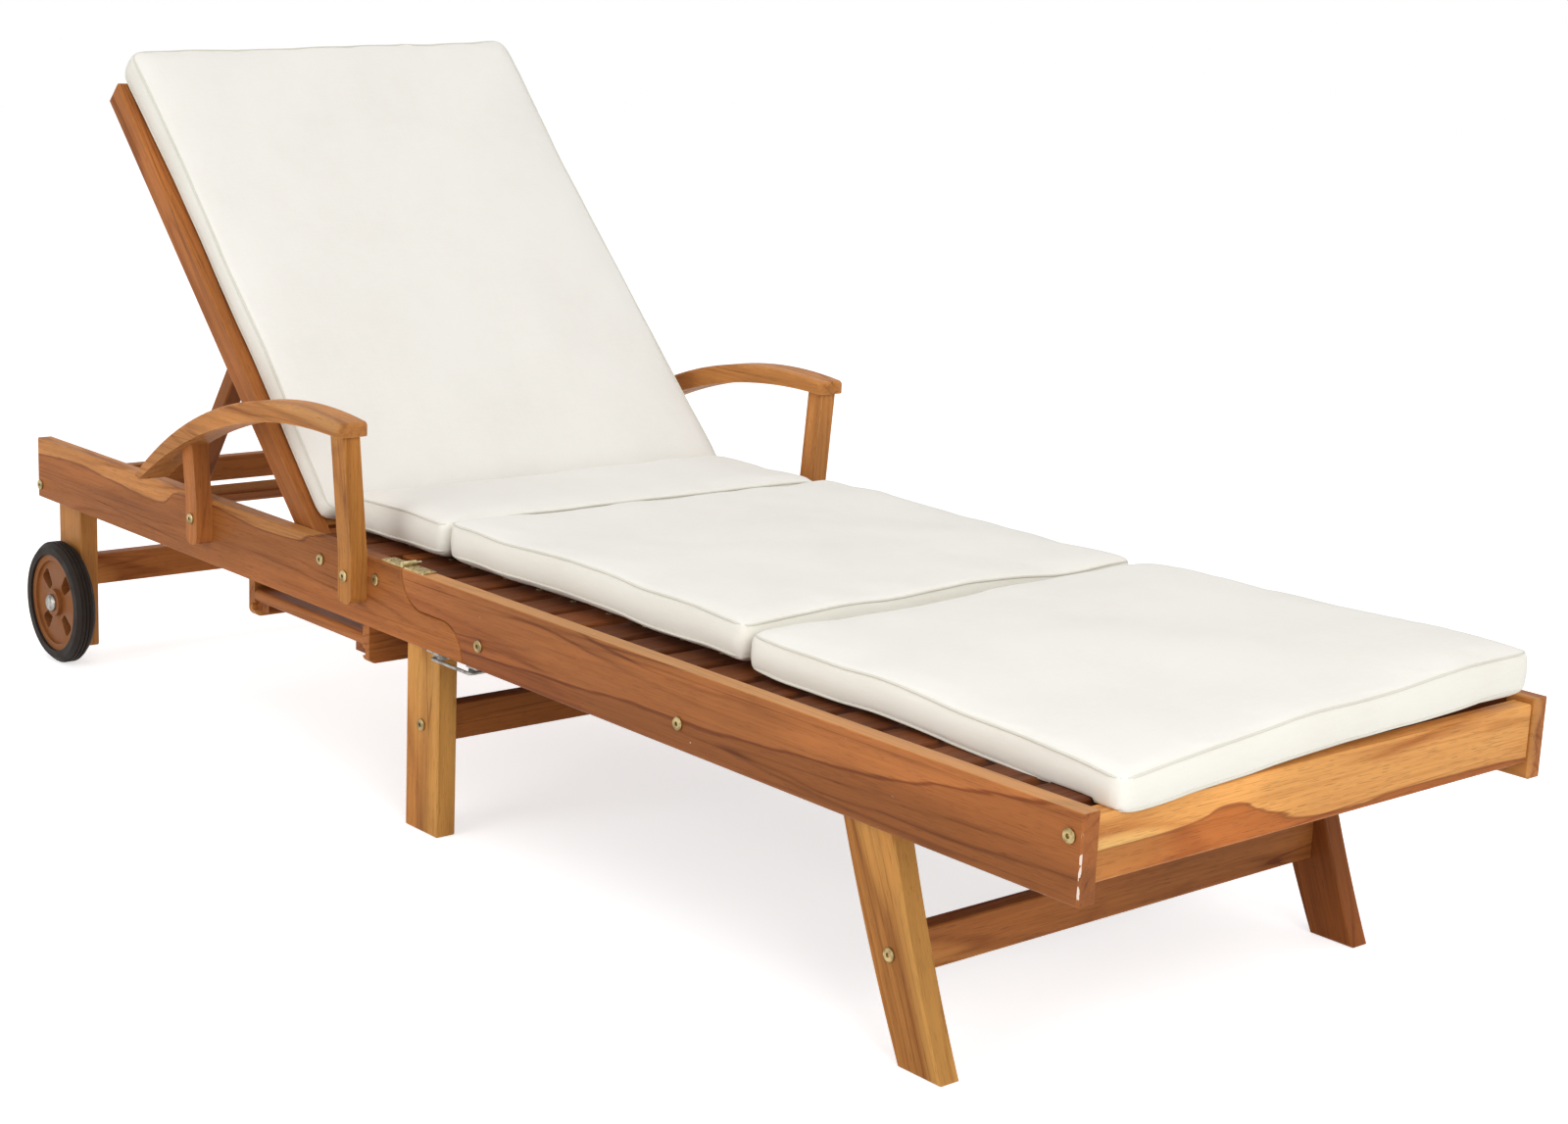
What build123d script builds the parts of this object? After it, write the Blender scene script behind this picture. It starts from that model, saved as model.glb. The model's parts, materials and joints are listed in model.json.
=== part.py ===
"""A folding teak sun lounger with a raised back, arms, two wheels, a pull-out tray and a long pad.

X runs from the head end to the foot end, Y across and Z up, in millimetres.
The origin is at the middle of the lounger's floor area. Right is the right hand of a person
who lies on it, which is the -Y side. Places along the lounger are counted from the rails' head end.
"""
import math
import os

from build123d import *

os.makedirs("parts", exist_ok=True)

RIGHT, LEFT = -1, 1
SIDES = {"right": RIGHT, "left": LEFT}

# Overall sizes
frame_length = 2000.0
frame_width = 685.0
rail_top = 314.0
rail_height = 84.0
rail_thickness = 22.0
arris = 1.5

# Clearances
saw_gap = 0.8
soft_gap = 0.3
bolt_gap = 0.05
pivot_gap = 0.08
side_gap = 0.3
runner_gap = 0.6

# Wheels
wheel_radius = 86.0
wheel_width = 28.0
wheel_place = 52.0
disc_radius = 68.5
disc_width = 20.0
disc_rim = 9.0
disc_dish = 4.0
hub_radius = 19.0
hub_inset = 1.0
window_length = 27.0
window_width = 24.0
window_share = 0.6
window_count = 4
window_turn = 45.0
window_round = 5.0
tread_groove_width = 2.4
tread_groove_depth = 1.8
tread_groove_count = 4
tread_width = 20.0
tyre_shoulder = 7.0
axle_radius = 5.0
axle_head_radius = 12.0
axle_head_height = 6.0
axle_head_round = 5.0
axle_nut_size = 17.0
axle_nut_height = 8.0
axle_tail = 4.0
leg_wheel_gap = 1.5

# Legs and stretchers
leg_width = 66.0
leg_thickness = 26.0
leg_top = 262.0
rear_leg_foot = 25.0
mid_leg_place = 961.0
stretcher_height = 43.0
stretcher_thickness = 22.0
stretcher_level = 129.0
foot_leg_toe = 1830.0
foot_leg_toe_width = 57.0
foot_leg_knee_level = 125.0
foot_leg_knee = 1781.0
foot_leg_knee_width = 64.0
foot_leg_top = 1739.0
foot_leg_top_width = 72.0
foot_stretcher_place = 1755.0
foot_stretcher_level = 105.0

# Cross boards
head_board_low = 230.0
head_board_height = 36.0
head_board_thickness = 18.0
foot_board_recess = 3.0
foot_board_bolt_drop = 17.0
foot_board_low = 247.0
foot_board_top = 308.0
cross_rail_low = 240.0
cross_rail_high = 275.0
front_cross_rail_place = 1106.0
foot_cross_rail_place = 1458.0
seat_rail_place = 894.0
seat_rail_level = 270.0

# Fold of the frame
fold_place = 947.0
nose_radius = 44.0
tongue_radius = 40.0
tongue_length = 125.0
leaf_length = 44.0
leaf_width = 18.0
leaf_thickness = 2.0
knuckle_radius = 3.6
knuckle_pin_radius = 1.9
knuckle_pin_tail = 7.0
knuckle_gap = 0.2
knuckle_pin_head = 1.2
knuckle_pin_head_radius = 3.0
leaf_screw_radius = 3.0
leaf_screw_height = 0.8

# Slats of the seat and foot halves
deck_top = 312.0
slat_thickness = 12.0
slat_gap = 14.0
seat_slat_count = 2
foot_slat_count = 16
back_slat_count = 11
deck_start_gap = 4.0
ledger_width = 20.0
ledger_height = 24.0

# Back
pivot_place = 717.0
pivot_level = 285.0
pivot_blind = 6.0
back_angle = 45.0
back_length = 735.0
stile_width = 34.0
stile_thickness = 22.0
stile_gap = 2.5
back_rail_width = 60.0
back_rail_drop = 10.0
back_slat_recess = 2.0
back_slat_start = 28.0
pivot_bolt_radius = 4.0
washer_radius = 10.0

# Prop that holds the back up
prop_place = 348.0
prop_sink = 9.5
prop_leg_width = 22.0
prop_leg_thickness = 24.0
prop_side_gap = 4.0
prop_bar_size = 20.0
prop_bar_round = 2.0
prop_bar_rest_place = 287.0
prop_bar_rest_level = 271.0
prop_rod_radius = 4.0
lower_settings = 3
setting_step = 56.0
rack_thickness = 22.0
rack_low = 230.0
rack_tip = 248.5
rack_start = 42.0
rack_end = 338.0
rack_lug_length = 34.0
rack_lug_top = 268.0
rack_seat_gap = 0.8
rack_seat_tail = 4.0
notch_depth = 13.0
notch_width = 30.0
notch_floor_width = 18.0

# Arms
arm_inner_gap = 1.5
arm_width = 42.0
arm_rear_place = 376.0
arm_rear_level = 328.0
arm_mid_place = 600.0
arm_mid_level = 450.0
arm_front_place = 881.0
arm_front_level = 472.0
arm_low_rear_place = 392.0
arm_low_rear_level = 325.0
arm_low_mid_place = 576.0
arm_low_mid_level = 416.0
arm_front_thickness = 16.0
arm_corner = 8.0
arm_round = 5.0
post_width = 28.0
post_thickness = 22.0
post_foot = 257.0
post_round = 11.0
front_post_place = 861.0
rear_post_place = 492.0
post_lean = 11.0

# Tray under the seat
tray_rear_place = 595.0
tray_front_place = 863.0
tray_runner_thickness = 14.0
tray_runner_low = 182.0
tray_runner_round = 10.0
tray_groove_low = 190.0
tray_groove_height = 10.0
tray_groove_depth = 6.0
tray_side_inset = 6.5
tray_slat_count = 7
tray_depth = 440.0
tray_slat_gap = 8.0
tray_edge_round = 5.0
tray_batten_inset = 6.0
tray_slat_thickness = 15.0
tray_slat_top = 217.0
tray_batten_width = 24.0

# Pads
pad_side_margin = 24.5
back_pad_side_margin = 20.5
pad_thickness = 60.0
pad_edge = 54.0
pad_edge_lift = 12.0
pad_flat_inset = 70.0
back_pad_thickness = 44.0
back_pad_edge = 38.0
back_pad_edge_lift = 2.0
pad_side_draw = 6.0
pad_side_bulge = 5.0
pad_crease_gap = 4.0
pad_crease_shift = 8.0
pad_corner_length = 30.0
pad_corner_width = 14.0
foot_pad_length = 499.0
foot_pad_end_gap = 2.0
seat_pad_start = 742.0
pad_end_share = 0.6
back_pad_start = 26.0
back_pad_end = 782.0
pad_corner_shares = (0.0, 0.15, 0.5, 1.0)
pad_span_shares = (0.2, 0.4, 0.6, 0.8)

# Bolts
bolt_head_radius = 7.0
bolt_head_height = 3.0
bolt_socket_radius = 2.6
bolt_socket_depth = 2.0
bolt_shank_radius = 3.0
bolt_reach = 32.0
upper_bolt_level = 290.0
ledger_bolt_place = 772.0
ledger_bolt_reach = 16.0

# Latch under the fold
latch_place = 1012.0
latch_plate_length = 26.0
latch_plate_width = 24.0
latch_plate_thickness = 2.0
latch_bail_radius = 2.0
latch_bail_width = 26.0
latch_bail_length = 76.0
latch_bail_bend = 3.0
latch_pin_drop = 8.0
latch_inset = 14.0
latch_sleeve_radius = 4.0
latch_sleeve_length = 18.0
keeper_plate_length = 20.0
keeper_tab_thickness = 2.5
keeper_tab_level = 219.0
keeper_gap = 4.5

# Places worked out from the sizes above
half_width = frame_width / 2
inner_face = half_width - rail_thickness
rail_low = rail_top - rail_height
overhang = wheel_radius - wheel_place
head_end = -(frame_length + overhang) / 2 + overhang
foot_end = head_end + frame_length
leg_inner = inner_face - leg_thickness
fold_x = head_end + fold_place
tray_near = half_width - tray_side_inset
foot_pad_end = foot_end - foot_pad_end_gap
foot_pad_start = foot_pad_end - foot_pad_length
fold_axis_level = rail_top + knuckle_radius + knuckle_gap
deck_low = deck_top - slat_thickness
ledger_low = deck_low - ledger_height
wheel_x = head_end + wheel_place
mid_leg_x = head_end + mid_leg_place
wheel_inner = inner_face + leg_wheel_gap
wheel_outer = wheel_inner + wheel_width
back_turn = math.radians(back_angle)
pivot_x = head_end + pivot_place
stile_outer = inner_face - stile_gap
stile_inner = stile_outer - stile_thickness
back_face = stile_width / 2
back_deck = back_face - back_slat_recess
seat_end_x = head_end + seat_rail_place


def side_plane(across):
    """The upright plane along the lounger, whose pieces grow towards the right side."""
    return Plane(origin=(0, across, 0), x_dir=(1, 0, 0), z_dir=(0, -1, 0))


def slab_plane(side, near, far):
    """The side plane from which a slab between near and far of the middle is drawn out."""
    return side_plane(-near if side == RIGHT else far)


def back_plane(across):
    """The plane along the raised back, from its pivot towards its top, growing to the left."""
    along = (-math.cos(back_turn), 0, math.sin(back_turn))
    return Plane(origin=(pivot_x, across, pivot_level), x_dir=along, z_dir=(0, 1, 0))


def back_slab_plane(side, near, far):
    """The back plane from which a slab between near and far of the middle is drawn out."""
    return back_plane(-far if side == RIGHT else near)


def back_point(along, out):
    """The place in X and Z of a point of the raised back, along its stile and out from it."""
    x = pivot_x - along * math.cos(back_turn) + out * math.sin(back_turn)
    z = pivot_level + along * math.sin(back_turn) + out * math.cos(back_turn)
    return x, z


def keep(made, label):
    """Names a finished piece and writes it."""
    made.part.label = label
    export_step(made.part, f"parts/{label}.step")


def board(x_low, x_high, y_low, y_high, z_low, z_high, *holes):
    """A sawn board with its arrises eased and bolt holes cut through it."""
    with BuildPart() as made:
        with BuildSketch(Plane.XY.offset(z_low)):
            with Locations(((x_low + x_high) / 2, (y_low + y_high) / 2)):
                Rectangle(x_high - x_low, y_high - y_low)
        extrude(amount=z_high - z_low)
        chamfer(made.edges(), arris)
        for hole in holes:
            add(hole.part, mode=Mode.SUBTRACT)
    return made


def rods(places, radius, start, length):
    """Round bars across the lounger, each at (x, z), mirrored to both sides."""
    with BuildPart() as made:
        for side in SIDES.values():
            with BuildSketch(slab_plane(side, start, start + length)):
                with Locations(places):
                    Circle(radius)
            extrude(amount=length)
    return made


def bolts(places, face, reach):
    """Socket-headed bolts on both sides at (x, z), with heads on the face and shanks inwards."""
    with BuildPart() as made:
        for side in SIDES.values():
            with BuildSketch(slab_plane(side, face, face + bolt_head_height)):
                with Locations(places):
                    Circle(bolt_head_radius)
            extrude(amount=bolt_head_height)
            with BuildSketch(slab_plane(side, face - reach, face)):
                with Locations(places):
                    Circle(bolt_shank_radius)
            extrude(amount=reach)
            outer = face + bolt_head_height
            with BuildSketch(slab_plane(side, outer - bolt_socket_depth, outer)):
                with Locations(places):
                    RegularPolygon(bolt_socket_radius, 6)
            extrude(amount=bolt_socket_depth, mode=Mode.SUBTRACT)
        rims = made.edges().filter_by(GeomType.CIRCLE)
        heads = rims.filter_by(lambda edge: abs(edge.radius - bolt_head_radius) < bolt_gap)
        outer_rims = heads.filter_by(lambda edge: abs(edge.center().Y) > face + bolt_head_height / 2)
        chamfer(outer_rims, bolt_head_height / 3)
    return made


# The S-shaped saw cut between the head and foot halves of the rails
def fold_outline(step, end_x):
    """A rail outline from the fold cut to end_x, with the cut moved by step towards the foot."""
    nose_x = fold_x + nose_radius
    tongue_x = fold_x + tongue_length - tongue_radius
    shelf = rail_top - nose_radius + step
    nose = nose_radius - step
    tongue = tongue_radius + step
    half_turn = math.sqrt(0.5)
    with BuildLine() as outline:
        Line((end_x, rail_top), (nose_x - nose, rail_top))
        ThreePointArc(
            (nose_x - nose, rail_top),
            (nose_x - nose * half_turn, rail_top - nose * half_turn),
            (nose_x, shelf),
        )
        Line((nose_x, shelf), (tongue_x, shelf))
        ThreePointArc(
            (tongue_x, shelf),
            (tongue_x + tongue * half_turn, rail_low + tongue * half_turn),
            (tongue_x + tongue, rail_low),
        )
        Polyline((tongue_x + tongue, rail_low), (end_x, rail_low), (end_x, rail_top))
    return outline


# Bolts through the outer faces, at (x, z)
post_xs = {"front": head_end + front_post_place, "rear": head_end + rear_post_place}
head_board_bolt = (head_end + head_board_thickness / 2, head_board_low + head_board_height / 2)
head_rail_spots = [head_board_bolt, (seat_end_x, upper_bolt_level)]
head_leg_spots = [(wheel_x, stretcher_level), (mid_leg_x, stretcher_level)]
post_spots = [(x, upper_bolt_level) for x in post_xs.values()]
cross_rail_xs = (head_end + front_cross_rail_place, head_end + foot_cross_rail_place)
cross_rail_level = (cross_rail_low + cross_rail_high) / 2
foot_board_x = foot_end - foot_board_recess - rail_thickness / 2
foot_rail_spots = [(x, cross_rail_level) for x in cross_rail_xs]
foot_rail_spots.append((foot_board_x, foot_board_top - foot_board_bolt_drop))
foot_leg_spots = [(head_end + foot_stretcher_place, foot_stretcher_level)]
pivot_spots = [(pivot_x, pivot_level)]
ledger_bolt_spots = [(head_end + ledger_bolt_place, upper_bolt_level)]
bolt_hole = bolt_shank_radius + bolt_gap
rail_reach = rail_thickness + bolt_reach
leg_reach = leg_thickness + bolt_reach
post_reach = post_thickness + rail_thickness
post_outer = half_width + post_thickness
foot_outer = half_width - side_gap

head_holes = rods(head_rail_spots, bolt_hole, half_width - rail_reach, rail_reach)
head_leg_holes = rods(head_leg_spots, bolt_hole, inner_face - leg_reach, leg_reach)
post_holes = rods(post_spots, bolt_hole, post_outer - post_reach, post_reach)
foot_holes = rods(foot_rail_spots, bolt_hole, foot_outer - rail_reach, rail_reach)
foot_leg_holes = rods(foot_leg_spots, bolt_hole, inner_face - leg_reach, leg_reach)
ledger_reach = rail_thickness + ledger_bolt_reach
ledger_holes = rods(ledger_bolt_spots, bolt_hole, half_width - ledger_reach, ledger_reach)
pivot_holes = rods(pivot_spots, pivot_bolt_radius + bolt_gap, inner_face, rail_thickness - pivot_blind)
axle_holes = rods([(wheel_x, wheel_radius)], axle_radius + bolt_gap, leg_inner, leg_thickness)

# Head half: rails, end board, legs and stretchers
for word, side in SIDES.items():
    with BuildPart() as head_rail:
        with BuildSketch(slab_plane(side, inner_face, half_width)):
            add(fold_outline(0, head_end).line)
            make_face()
        extrude(amount=rail_thickness)
        chamfer(head_rail.faces().filter_by(Axis.Y).edges(), arris)
        for holes in (head_holes, post_holes, pivot_holes, ledger_holes):
            add(holes.part, mode=Mode.SUBTRACT)
    keep(head_rail, f"head_rail_{word}")

    near, far = sorted((side * leg_inner, side * inner_face))
    for label, x, foot in (("rear_leg", wheel_x, rear_leg_foot), ("mid_leg", mid_leg_x, 0)):
        x_low, x_high = x - leg_width / 2, x + leg_width / 2
        leg = board(x_low, x_high, near, far, foot, leg_top, head_leg_holes, axle_holes)
        keep(leg, f"{label}_{word}")

head_board_high = head_board_low + head_board_height
head_board_x = head_end + head_board_thickness
head_board = board(
    head_end, head_board_x, -inner_face, inner_face, head_board_low, head_board_high, head_holes
)
keep(head_board, "head_end_board")

for label, x in (("rear_stretcher", wheel_x), ("mid_stretcher", mid_leg_x)):
    stretcher = board(
        x - stretcher_thickness / 2, x + stretcher_thickness / 2, -leg_inner, leg_inner,
        stretcher_level - stretcher_height / 2, stretcher_level + stretcher_height / 2,
        head_leg_holes,
    )
    keep(stretcher, label)


# Slats and the strips that carry them
def slat_rows(rows, half_span):
    """Slats in rows, each row a start, an end and a count of evenly spaced slats."""
    with BuildPart() as made:
        for start, end, count in rows:
            width = (end - start - (count - 1) * slat_gap) / count
            with BuildSketch(Plane.XY.offset(deck_low)):
                for index in range(count):
                    with Locations((start + width / 2 + index * (width + slat_gap), 0)):
                        Rectangle(width, 2 * half_span)
            extrude(amount=slat_thickness)
        chamfer(made.edges(), arris)
    return made


def ledger_pair(start, end, *holes):
    """The two strips along the rails' inner faces that the slats lie on."""
    with BuildPart() as made:
        for side in SIDES.values():
            with BuildSketch(Plane.XY.offset(ledger_low)):
                with Locations(((start + end) / 2, side * (inner_face - ledger_width / 2))):
                    Rectangle(end - start, ledger_width)
            extrude(amount=ledger_height)
        chamfer(made.edges(), arris)
        for hole in holes:
            add(hole.part, mode=Mode.SUBTRACT)
    return made


seat_start = pivot_x + back_face + deck_start_gap
seat_rail_near = seat_end_x - rail_thickness / 2
seat_rail_far = seat_end_x + rail_thickness / 2
keep(ledger_pair(seat_start, fold_x, head_holes, ledger_holes), "seat_ledgers")
seat_rows = (
    (seat_start, seat_rail_near - slat_gap / 2, seat_slat_count),
    (seat_rail_far + slat_gap / 2, fold_x, 1),
)
keep(slat_rows(seat_rows, inner_face), "seat_slats")
seat_rail_half = inner_face - ledger_width
seat_cross_rail = board(
    seat_rail_near, seat_rail_far, -seat_rail_half, seat_rail_half, seat_rail_level, deck_top, head_holes
)
keep(seat_cross_rail, "seat_cross_rail")

# Raised back, built along its stiles
for word, side in SIDES.items():
    with BuildPart() as stile:
        with BuildSketch(back_slab_plane(side, stile_inner, stile_outer)):
            with Locations((back_length / 2, 0)):
                Rectangle(back_length, stile_width)
            Circle(stile_width / 2)
        extrude(amount=stile_thickness)
        chamfer(stile.faces().filter_by(Axis.Y).edges(), arris)
        with BuildSketch(back_slab_plane(side, stile_inner, stile_outer)):
            Circle(pivot_bolt_radius + pivot_gap)
        extrude(amount=stile_thickness, mode=Mode.SUBTRACT)
        rod_end = stile_thickness / 2
        with BuildSketch(back_slab_plane(side, stile_inner, stile_inner + rod_end)):
            with Locations((prop_place, -prop_sink)):
                Circle(prop_rod_radius + bolt_gap)
        extrude(amount=rod_end, mode=Mode.SUBTRACT)
    keep(stile, f"backrest_stile_{word}")


def back_boards(starts, width, thickness):
    """Boards across the back between its stiles, each from a start along the stiles."""
    with BuildPart() as made:
        with BuildSketch(back_plane(-stile_inner)):
            for start in starts:
                with Locations((start + width / 2, back_deck - thickness / 2)):
                    Rectangle(width, thickness)
        extrude(amount=2 * stile_inner)
        chamfer(made.edges(), arris)
    return made


back_rail_start = back_length - back_rail_drop - back_rail_width
keep(back_boards([back_rail_start], back_rail_width, rail_thickness), "backrest_top_rail")
back_slat_room = back_rail_start - back_slat_start
back_slat_step = back_slat_room / back_slat_count
back_slat_starts = [back_slat_start + index * back_slat_step for index in range(back_slat_count)]
keep(back_boards(back_slat_starts, back_slat_step - slat_gap, slat_thickness), "backrest_slats")

# The prop's pivot and bar at rest
prop_hinge = back_point(prop_place, -prop_sink)
bar_rest = (head_end + prop_bar_rest_place, prop_bar_rest_level)
prop_length = math.dist(prop_hinge, bar_rest)
prop_rest_turn = math.asin((prop_hinge[1] - bar_rest[1]) / prop_length)


def prop_plane(across):
    """The plane along the prop, from its pivot towards its bar, growing to the left."""
    along = (-math.cos(prop_rest_turn), 0, -math.sin(prop_rest_turn))
    return Plane(origin=(prop_hinge[0], across, prop_hinge[1]), x_dir=along, z_dir=(0, 1, 0))


rack_inner = leg_inner - rack_thickness
prop_outer = rack_inner - prop_side_gap
prop_inner = prop_outer - prop_leg_thickness
prop_leg_end = prop_length - prop_bar_size / 2
for word, side in SIDES.items():
    with BuildPart() as prop_leg:
        with BuildSketch(prop_plane(-prop_outer if side == RIGHT else prop_inner)):
            with Locations((prop_leg_end / 2, 0)):
                Rectangle(prop_leg_end, prop_leg_width)
            Circle(prop_leg_width / 2)
        extrude(amount=prop_leg_thickness)
        chamfer(prop_leg.faces().filter_by(Axis.Y).edges(), arris)
        with BuildSketch(prop_plane(-prop_outer if side == RIGHT else prop_inner)):
            Circle(prop_rod_radius + pivot_gap)
        extrude(amount=prop_leg_thickness, mode=Mode.SUBTRACT)
    keep(prop_leg, f"prop_leg_{word}")

prop_bar_half = leg_inner - prop_bar_round
with BuildPart() as prop_bar:
    with BuildSketch(prop_plane(-prop_bar_half)):
        with Locations((prop_length, 0)):
            Rectangle(prop_bar_size, prop_bar_size)
    extrude(amount=2 * prop_bar_half)
    chamfer(prop_bar.edges(), prop_bar_round)
keep(prop_bar, "prop_bar")

prop_rod_half = stile_inner + stile_thickness / 2
with BuildPart() as prop_rod:
    with BuildSketch(back_plane(-prop_rod_half)):
        with Locations((prop_place, -prop_sink)):
            Circle(prop_rod_radius)
    extrude(amount=2 * prop_rod_half)
keep(prop_rod, "prop_rod")

# Racks: the bar rests in a seat against a lug, and the lower settings are notches behind it
bar_reach = prop_bar_size * (math.cos(prop_rest_turn) + math.sin(prop_rest_turn)) / 2
rack_seat = bar_rest[1] - bar_reach - rack_seat_gap
rack_tail = bar_rest[0] - rack_seat_tail
rack_lug_x = bar_rest[0] + bar_reach + rack_seat_gap
rack_x, rack_far_x = head_end + rack_start, head_end + rack_end
notch_floor = rack_tip - notch_depth
rack_outline = [(rack_x, rack_low), (rack_x, rack_tip)]
for setting in range(lower_settings, 0, -1):
    notch_x = bar_rest[0] - setting * setting_step
    rack_outline += [
        (notch_x - notch_width / 2, rack_tip),
        (notch_x - notch_floor_width / 2, notch_floor),
        (notch_x + notch_floor_width / 2, notch_floor),
        (notch_x + notch_width / 2, rack_tip),
    ]
rack_outline += [
    (rack_tail, rack_tip), (rack_tail, rack_seat), (rack_lug_x, rack_seat),
    (rack_lug_x, rack_lug_top), (rack_far_x, rack_lug_top), (rack_far_x, rack_low), (rack_x, rack_low),
]
for word, side in SIDES.items():
    with BuildPart() as rack:
        with BuildSketch(slab_plane(side, rack_inner, leg_inner)):
            with BuildLine():
                Polyline(*rack_outline)
            make_face()
        extrude(amount=rack_thickness)
        with BuildSketch(slab_plane(side, leg_inner, inner_face)):
            with Locations((rack_far_x - rack_lug_length / 2, (rack_low + rack_tip) / 2)):
                Rectangle(rack_lug_length, rack_tip - rack_low)
        extrude(amount=leg_thickness)
    keep(rack, f"rack_{word}")


# Arms and their posts
def arm_arc(rear, middle, front):
    """An arc of the arm's side outline through three places and levels."""
    return ThreePointArc(*((head_end + place, level) for place, level in (rear, middle, front)))


arm_low_front = arm_front_level - arm_front_thickness
arm_low_points = (
    (arm_low_rear_place, arm_low_rear_level),
    (arm_low_mid_place, arm_low_mid_level),
    (arm_front_place, arm_low_front),
)
arm_near = half_width + arm_inner_gap
arm_far = arm_near + arm_width
lean_slope = post_lean / (arm_low_front - rail_top)
for word, side in SIDES.items():
    with BuildPart() as arm:
        with BuildSketch(slab_plane(side, arm_near, arm_far)):
            with BuildLine():
                top = arm_arc(
                    (arm_rear_place, arm_rear_level),
                    (arm_mid_place, arm_mid_level),
                    (arm_front_place, arm_front_level),
                )
                low = arm_arc(*arm_low_points)
                Line(top @ 0, low @ 0)
                Line(top @ 1, low @ 1)
            make_face()
        extrude(amount=arm_width)
        fillet(arm.edges().filter_by(Axis.Z), arm_corner)
        upper = arm.faces().filter_by(GeomType.CYLINDER).sort_by(SortBy.AREA)[-2:].sort_by(Axis.Z)[-1]
        fillet(upper.edges(), arm_round)
    keep(arm, f"armrest_{word}")

    for end, post_x in post_xs.items():
        rise = arm_front_level - rail_top
        inner = side * half_width
        outer = side * post_outer
        shift = side * rise * lean_slope
        with BuildPart() as post:
            with BuildSketch(Plane.YZ.offset(post_x - post_width / 2)):
                with BuildLine():
                    Polyline(
                        (inner, post_foot), (inner, rail_top), (inner + shift, arm_front_level),
                        (outer + shift, arm_front_level), (outer, rail_top), (outer, post_foot),
                        close=True,
                    )
                make_face()
            extrude(amount=post_width)
            fillet(post.edges().filter_by(Axis.Y).group_by(Axis.Z)[0], post_round)
            with BuildSketch(slab_plane(side, half_width, post_outer + rise * lean_slope)):
                with BuildLine():
                    under = arm_arc(*arm_low_points)
                    Polyline(
                        under @ 1, (head_end + arm_front_place, arm_front_level + rise),
                        (head_end + arm_low_rear_place, arm_front_level + rise), under @ 0,
                    )
                make_face()
            extrude(amount=post_thickness + rise * lean_slope, mode=Mode.SUBTRACT)
            add(post_holes.part, mode=Mode.SUBTRACT)
        keep(post, f"arm_post_{end}_{word}")

# Foot half: rails, end board, legs, slats and cross rails
for word, side in SIDES.items():
    with BuildPart() as foot_rail:
        with BuildSketch(slab_plane(side, inner_face, foot_outer)):
            add(fold_outline(saw_gap, foot_end).line)
            make_face()
        extrude(amount=rail_thickness - side_gap)
        chamfer(foot_rail.faces().filter_by(Axis.Y).edges(), arris)
        add(foot_holes.part, mode=Mode.SUBTRACT)
    keep(foot_rail, f"foot_rail_{word}")

    with BuildPart() as foot_leg:
        with BuildSketch(slab_plane(side, leg_inner, inner_face)):
            with BuildLine():
                front = ThreePointArc(
                    (head_end + foot_leg_top, leg_top),
                    (head_end + foot_leg_knee, foot_leg_knee_level),
                    (head_end + foot_leg_toe, 0),
                )
                rear = ThreePointArc(
                    (head_end + foot_leg_top - foot_leg_top_width, leg_top),
                    (head_end + foot_leg_knee - foot_leg_knee_width, foot_leg_knee_level),
                    (head_end + foot_leg_toe - foot_leg_toe_width, 0),
                )
                Line(front @ 0, rear @ 0)
                Line(front @ 1, rear @ 1)
            make_face()
        extrude(amount=leg_thickness)
        chamfer(foot_leg.faces().filter_by(Axis.Y).edges(), arris)
        add(foot_leg_holes.part, mode=Mode.SUBTRACT)
    keep(foot_leg, f"foot_leg_{word}")

foot_board = board(
    foot_board_x - rail_thickness / 2, foot_board_x + rail_thickness / 2, -inner_face, inner_face,
    foot_board_low, foot_board_top, foot_holes,
)
keep(foot_board, "foot_end_board")

foot_stretcher_x = head_end + foot_stretcher_place
foot_stretcher = board(
    foot_stretcher_x - stretcher_thickness / 2, foot_stretcher_x + stretcher_thickness / 2,
    -leg_inner, leg_inner, foot_stretcher_level - stretcher_height / 2,
    foot_stretcher_level + stretcher_height / 2, foot_leg_holes,
)
keep(foot_stretcher, "foot_stretcher")

foot_deck_start = fold_x + deck_start_gap
foot_deck_end = foot_board_x - rail_thickness / 2
keep(ledger_pair(foot_deck_start, foot_deck_end), "foot_ledgers")
foot_rows = [(foot_deck_start, foot_deck_end - slat_gap / 2, foot_slat_count)]
keep(slat_rows(foot_rows, inner_face), "foot_slats")

with BuildPart() as cross_rails:
    with BuildSketch(Plane.XY.offset(cross_rail_low)):
        for x in cross_rail_xs:
            with Locations((x, 0)):
                Rectangle(rail_thickness, 2 * inner_face)
    extrude(amount=cross_rail_high - cross_rail_low)
    chamfer(cross_rails.edges(), arris)
    add(foot_holes.part, mode=Mode.SUBTRACT)
keep(cross_rails, "foot_cross_rails")

# Hinges on top of the rails, at the fold
leaf_near = half_width - rail_thickness / 2 - leaf_width / 2
knuckle_length = leaf_width / 3


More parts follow.
